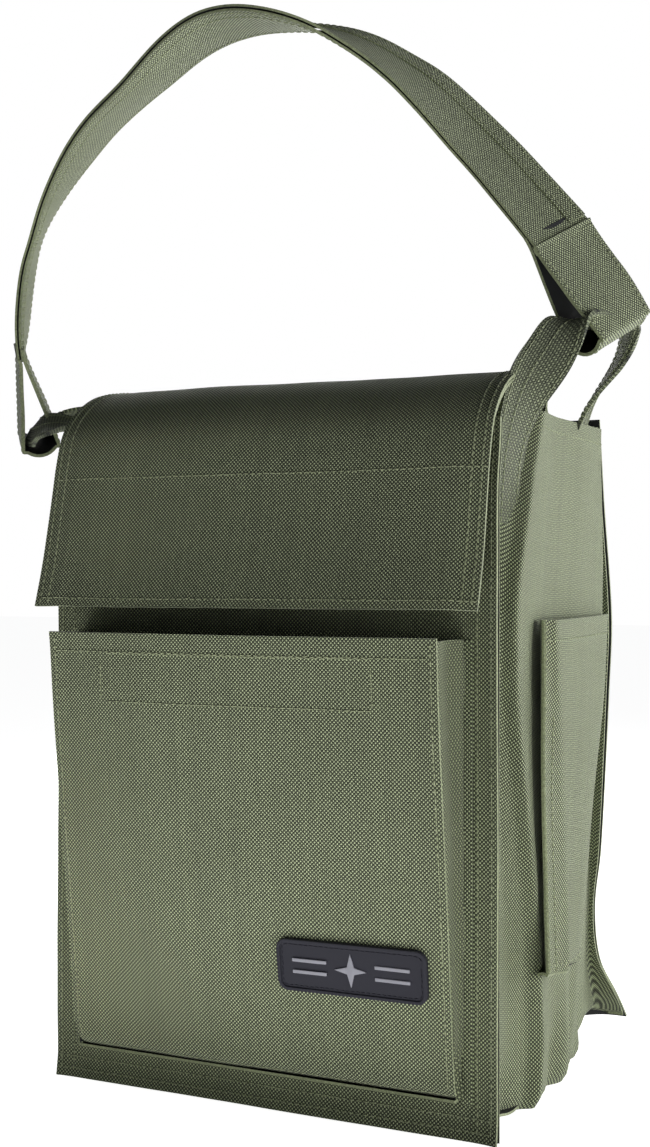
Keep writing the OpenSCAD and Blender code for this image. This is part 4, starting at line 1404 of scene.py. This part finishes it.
# ---- webbing loops --------------------------------------------------------------------------
@dataclass
class WebbingLoops:
    """The two webbing loops that carry the handle, sewn into the gussets at their ends."""

    handle: Handle
    width: float = 0.025
    thick: float = 0.0018
    slack: float = 0.002
    tab_width: float = 0.025
    tab_thick: float = 0.0014
    right_route: Tuple = (((0.1145, -0.0665, 0.284), (0.22, 0.97, 0), 0.0250),
                          ((0.1165, -0.0640, 0.318), (0.24, 0.96, 0.05), 0.0250),
                          ((0.1222, -0.0570, 0.345), (0.50, 0.84, 0.10), 0.0250),
                          ((0.1300, -0.0440, 0.366), (0.78, 0.55, 0.05), 0.0245),
                          ((0.1375, -0.0315, 0.384), (0.90, 0.10, 0.10), 0.0200),
                          (None, (0.86, -0.46, 0.18), 0.0150),
                          ((0.1530, 0.0150, 0.388), (0.55, -0.40, -0.70), 0.0190),
                          ((0.1440, 0.0330, 0.372), (0.30, -0.80, -0.40), 0.0220),
                          ((0.1240, 0.0450, 0.347), (0.16, -0.97, -0.10), 0.0235),
                          ((0.1150, 0.0500, 0.322), (0.05, -1, 0), 0.0250),
                          ((0.1145, 0.0500, 0.305), (0, -1, 0), 0.0250))
    left_route: Tuple = (((-0.1165, -0.0640, 0.300), (0.20, -0.98, 0), 0.0250),
                         ((-0.1205, -0.0600, 0.322), (0.20, -0.98, 0), 0.0250),
                         ((-0.1310, -0.0560, 0.337), (0.20, -0.96, -0.2), 0.0250),
                         ((-0.1540, -0.0480, 0.341), (0.15, -0.80, -0.5), 0.0230),
                         ((-0.1720, -0.0370, 0.341), (0.30, -0.60, -0.7), 0.0190),
                         (None, (-0.70, -0.35, -0.6), 0.0150),
                         ((-0.1840, -0.0020, 0.350), (-0.80, 0.10, -0.55), 0.0180),
                         ((-0.1640, 0.0200, 0.352), (-0.50, 0.65, -0.55), 0.0220),
                         ((-0.1380, 0.0400, 0.348), (-0.25, 0.90, -0.30), 0.0245),
                         ((-0.1180, 0.0500, 0.332), (0, 1, 0), 0.0250),
                         ((-0.1150, 0.0500, 0.312), (0, 1, 0), 0.0250))

    def stations(self, right: bool) -> List[Tuple[Vector, Vector, float]]:
        """Returns the loop's stations: centre, direction of width and width.

        A station of no place lies in the handle's eye, where the webbing bears on it.
        """
        centre, up, _, _ = self.handle.eye_frame(right)
        bearing = centre - up * self.slack
        return [(Vector(at) if at else bearing, Vector(flat), width)
                for at, flat, width in (self.right_route if right else self.left_route)]

    def loop(self, right: bool) -> Place:
        """Returns the place of one loop, from its front root through the eye to its rear."""
        rows = self.stations(right)
        centres = [c for c, _, _ in rows]
        flats = [w.normalized() for _, w, _ in rows]
        widths = [Vector((w, 0, 0)) for _, _, w in rows]
        spans = len(rows) - 1

        def place(u: float, v: float) -> Vector:
            """Places the webbing, bowed where it is gathered."""
            s = v * spans
            centre = smooth(centres, s)
            tangent = (smooth(centres, s + 0.05) - smooth(centres, max(s - 0.05, 0))).normalized()
            flat = smooth(flats, s)
            flat = (flat - tangent * flat.dot(tangent)).normalized()
            width = smooth(widths, s).x
            bow = (self.width - width) * 0.35
            edge = 2 * u - 1
            return (centre + flat * (edge * width / 2)
                    + tangent.cross(flat) * bow * (0.5 - edge * edge))
        return place

    def build(self) -> None:
        """Cuts both loops and the stitched ends inside the gussets."""
        for side, sign in (("left", -1), ("right", 1)):
            right = sign > 0
            start = (0, 0, 0.343) if right else (-0.124, 0, 0)
            end = (0, 0, 0.378) if right else (-0.168, 0, 0)
            rig = Rig("bag_body", "handle", start, end)
            strip = Cloth(f"webbing_loop_cloth_{side}", self.loop(right), 12, 130, WEBBING,
                          WEBBING, WEBBING, self.thick, Held.GATHERED)
            rig.fix(strip.build(), f"webbing_loop_{side}")
            runs = [strip.seam(edge, 0.0024) for edge in SIDES]
            runs.append(strip.seam(Edge.LEFT, 0.0095))
            runs += [turned(run, self.thick) for run in runs]
            rig.fix(Stitches(f"webbing_stitching_{side}", runs).build())
            low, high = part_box(f"webbing_ends_{side}")
            half = self.tab_width / 2
            for name, y in (("front", low.y + half), ("rear", high.y - half)):
                end_piece = Cloth(f"webbing_end_{name}_{side}",
                                  self.tab(sign, y, low.z, high.z - 0.004), 8, 12, WEBBING,
                                  WEBBING, WEBBING, self.tab_thick)
                nodes = (f"webbing_ends_{side}",) if name == "front" else ()
                Rig("bag_body").fix(end_piece.build(), *nodes)

    def tab(self, sign: int, y: float, foot: float, top: float) -> Place:
        """Returns the place of a sewn end, flat inside the gusset.

        Args:
            sign: 1 on the right side of the bag and -1 on the left.
            y: where the end's middle is.
            foot: the height of its lower edge.
            top: the height of its upper edge.
        """
        return lambda u, v: Vector((sign * (0.1172 + 0.0004 * v),
                                    y + sign * self.tab_width * (u - 0.5), mix(foot, top, v)))


# ---- scene ----------------------------------------------------------------------------------
@dataclass
class Studio:
    """The pale floor, the soft lights and the camera."""

    camera_at: Point = (0.3531, -0.7653, 0.2603)
    camera_turn: float = math.radians(25.4)
    lens: float = 48.96

    def light(self, name: str, at: Point, aim: Point, size: float, power: float,
              colour: Point = (1, 1, 1)) -> None:
        """Adds a square area light.

        Args:
            name: the light's name.
            at: where it is.
            aim: the point that it faces.
            size: the length of its side.
            power: its power in watts.
            colour: its colour.
        """
        lamp = bpy.data.lights.new(name, "AREA")
        lamp.energy, lamp.size, lamp.color = power, size, colour
        holder = bpy.data.objects.new(name, lamp)
        holder.location = at
        holder.rotation_euler = (Vector(aim) - Vector(at)).to_track_quat("-Z", "Y").to_euler()
        holder.visible_camera = False
        bpy.context.scene.collection.objects.link(holder)

    def floor(self) -> None:
        """Lays the floor."""
        deselect()
        bpy.ops.mesh.primitive_plane_add(size=14, location=(0, 0, -0.0006))
        floor = bpy.context.active_object
        floor.name = "studio_floor"
        paint = bpy.data.materials.new("pale_floor")
        paint.use_nodes = True
        shader = paint.node_tree.nodes["Principled BSDF"]
        shader.inputs["Base Color"].default_value = (0.93, 0.93, 0.92, 1)
        shader.inputs["Roughness"].default_value = 0.9
        shader.inputs["Emission Color"].default_value = (1, 1, 1, 1)
        graph = Graph(paint.node_tree)
        seen = graph.add("ShaderNodeLightPath").outputs["Is Camera Ray"]
        glow = graph.math("MULTIPLY_ADD", seen, 0.77, 0.17)
        paint.node_tree.links.new(glow, shader.inputs["Emission Strength"])
        floor.data.materials.append(paint)

    def world(self) -> None:
        """Sets a white surround that lights the bag only a little."""
        world = bpy.data.worlds.new("studio")
        world.use_nodes = True
        bpy.context.scene.world = world
        graph = Graph(world.node_tree)
        out = world.node_tree.nodes["World Output"]
        seen = graph.add("ShaderNodeBackground", {"Color": (1, 1, 1, 1), "Strength": 1.0})
        soft = graph.add("ShaderNodeBackground", {"Color": (0.9, 0.95, 1, 1), "Strength": 0.032})
        ray = graph.add("ShaderNodeLightPath").outputs["Is Camera Ray"]
        both = graph.add("ShaderNodeMixShader", {0: ray, 1: soft.outputs[0], 2: seen.outputs[0]})
        world.node_tree.links.new(both.outputs[0], out.inputs["Surface"])

    def camera(self) -> None:
        """Places the camera, level, at the height of the bag's upper half."""
        data = bpy.data.cameras.new("camera")
        data.lens, data.sensor_fit, data.sensor_height = self.lens, "AUTO", 36
        holder = bpy.data.objects.new("camera", data)
        holder.location = self.camera_at
        holder.rotation_euler = (math.radians(90), 0, self.camera_turn)
        bpy.context.scene.collection.objects.link(holder)
        bpy.context.scene.camera = holder

    def build(self) -> None:
        """Sets up the whole studio."""
        self.floor()
        self.world()
        self.light("key_right", (0.95, 1.00, 0.30), (0.1, 0, 0.2), 1.0, 14)
        self.light("side_right", (1.5, -0.15, 0.22), (0.1, 0, 0.2), 0.8, 14)
        self.light("rear_left", (-0.9, 1.1, 0.7), (0, 0, 0.4), 0.9, 13)
        self.light("floor_front", (0.0, -0.38, 0.004), (0.0, -0.38, 1), 0.46, 1.1)
        bpy.context.scene.view_settings.view_transform = "Standard"
        self.camera()


def panel_loop_place() -> Place:
    """Returns the place of the loop tape on the front panel, under the flap."""
    low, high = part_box("panel_loop_tape")
    return lambda u, v: Vector((mix(low.x, high.x, u), low.y, mix(low.z, high.z, v)))


def main() -> None:
    """Builds the bag, piece by piece, and its studio."""
    logging.basicConfig(level=logging.INFO, format="%(name)s: %(message)s")
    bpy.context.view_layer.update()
    Studio().build()
    Shell().build()
    Flap().build()
    pocket = FrontPocket()
    pocket.build()
    panel_tape = Cloth("panel_loop_pile", panel_loop_place(), 48, 12, PILE, PILE, PILE)
    Rig("bag_body").fix(panel_tape.build(), "panel_loop_tape")
    SidePocket().build()
    Patch(pocket).build()
    handle = Handle()
    handle.build()
    WebbingLoops(handle).build()


if __name__ == "__main__":
    main()
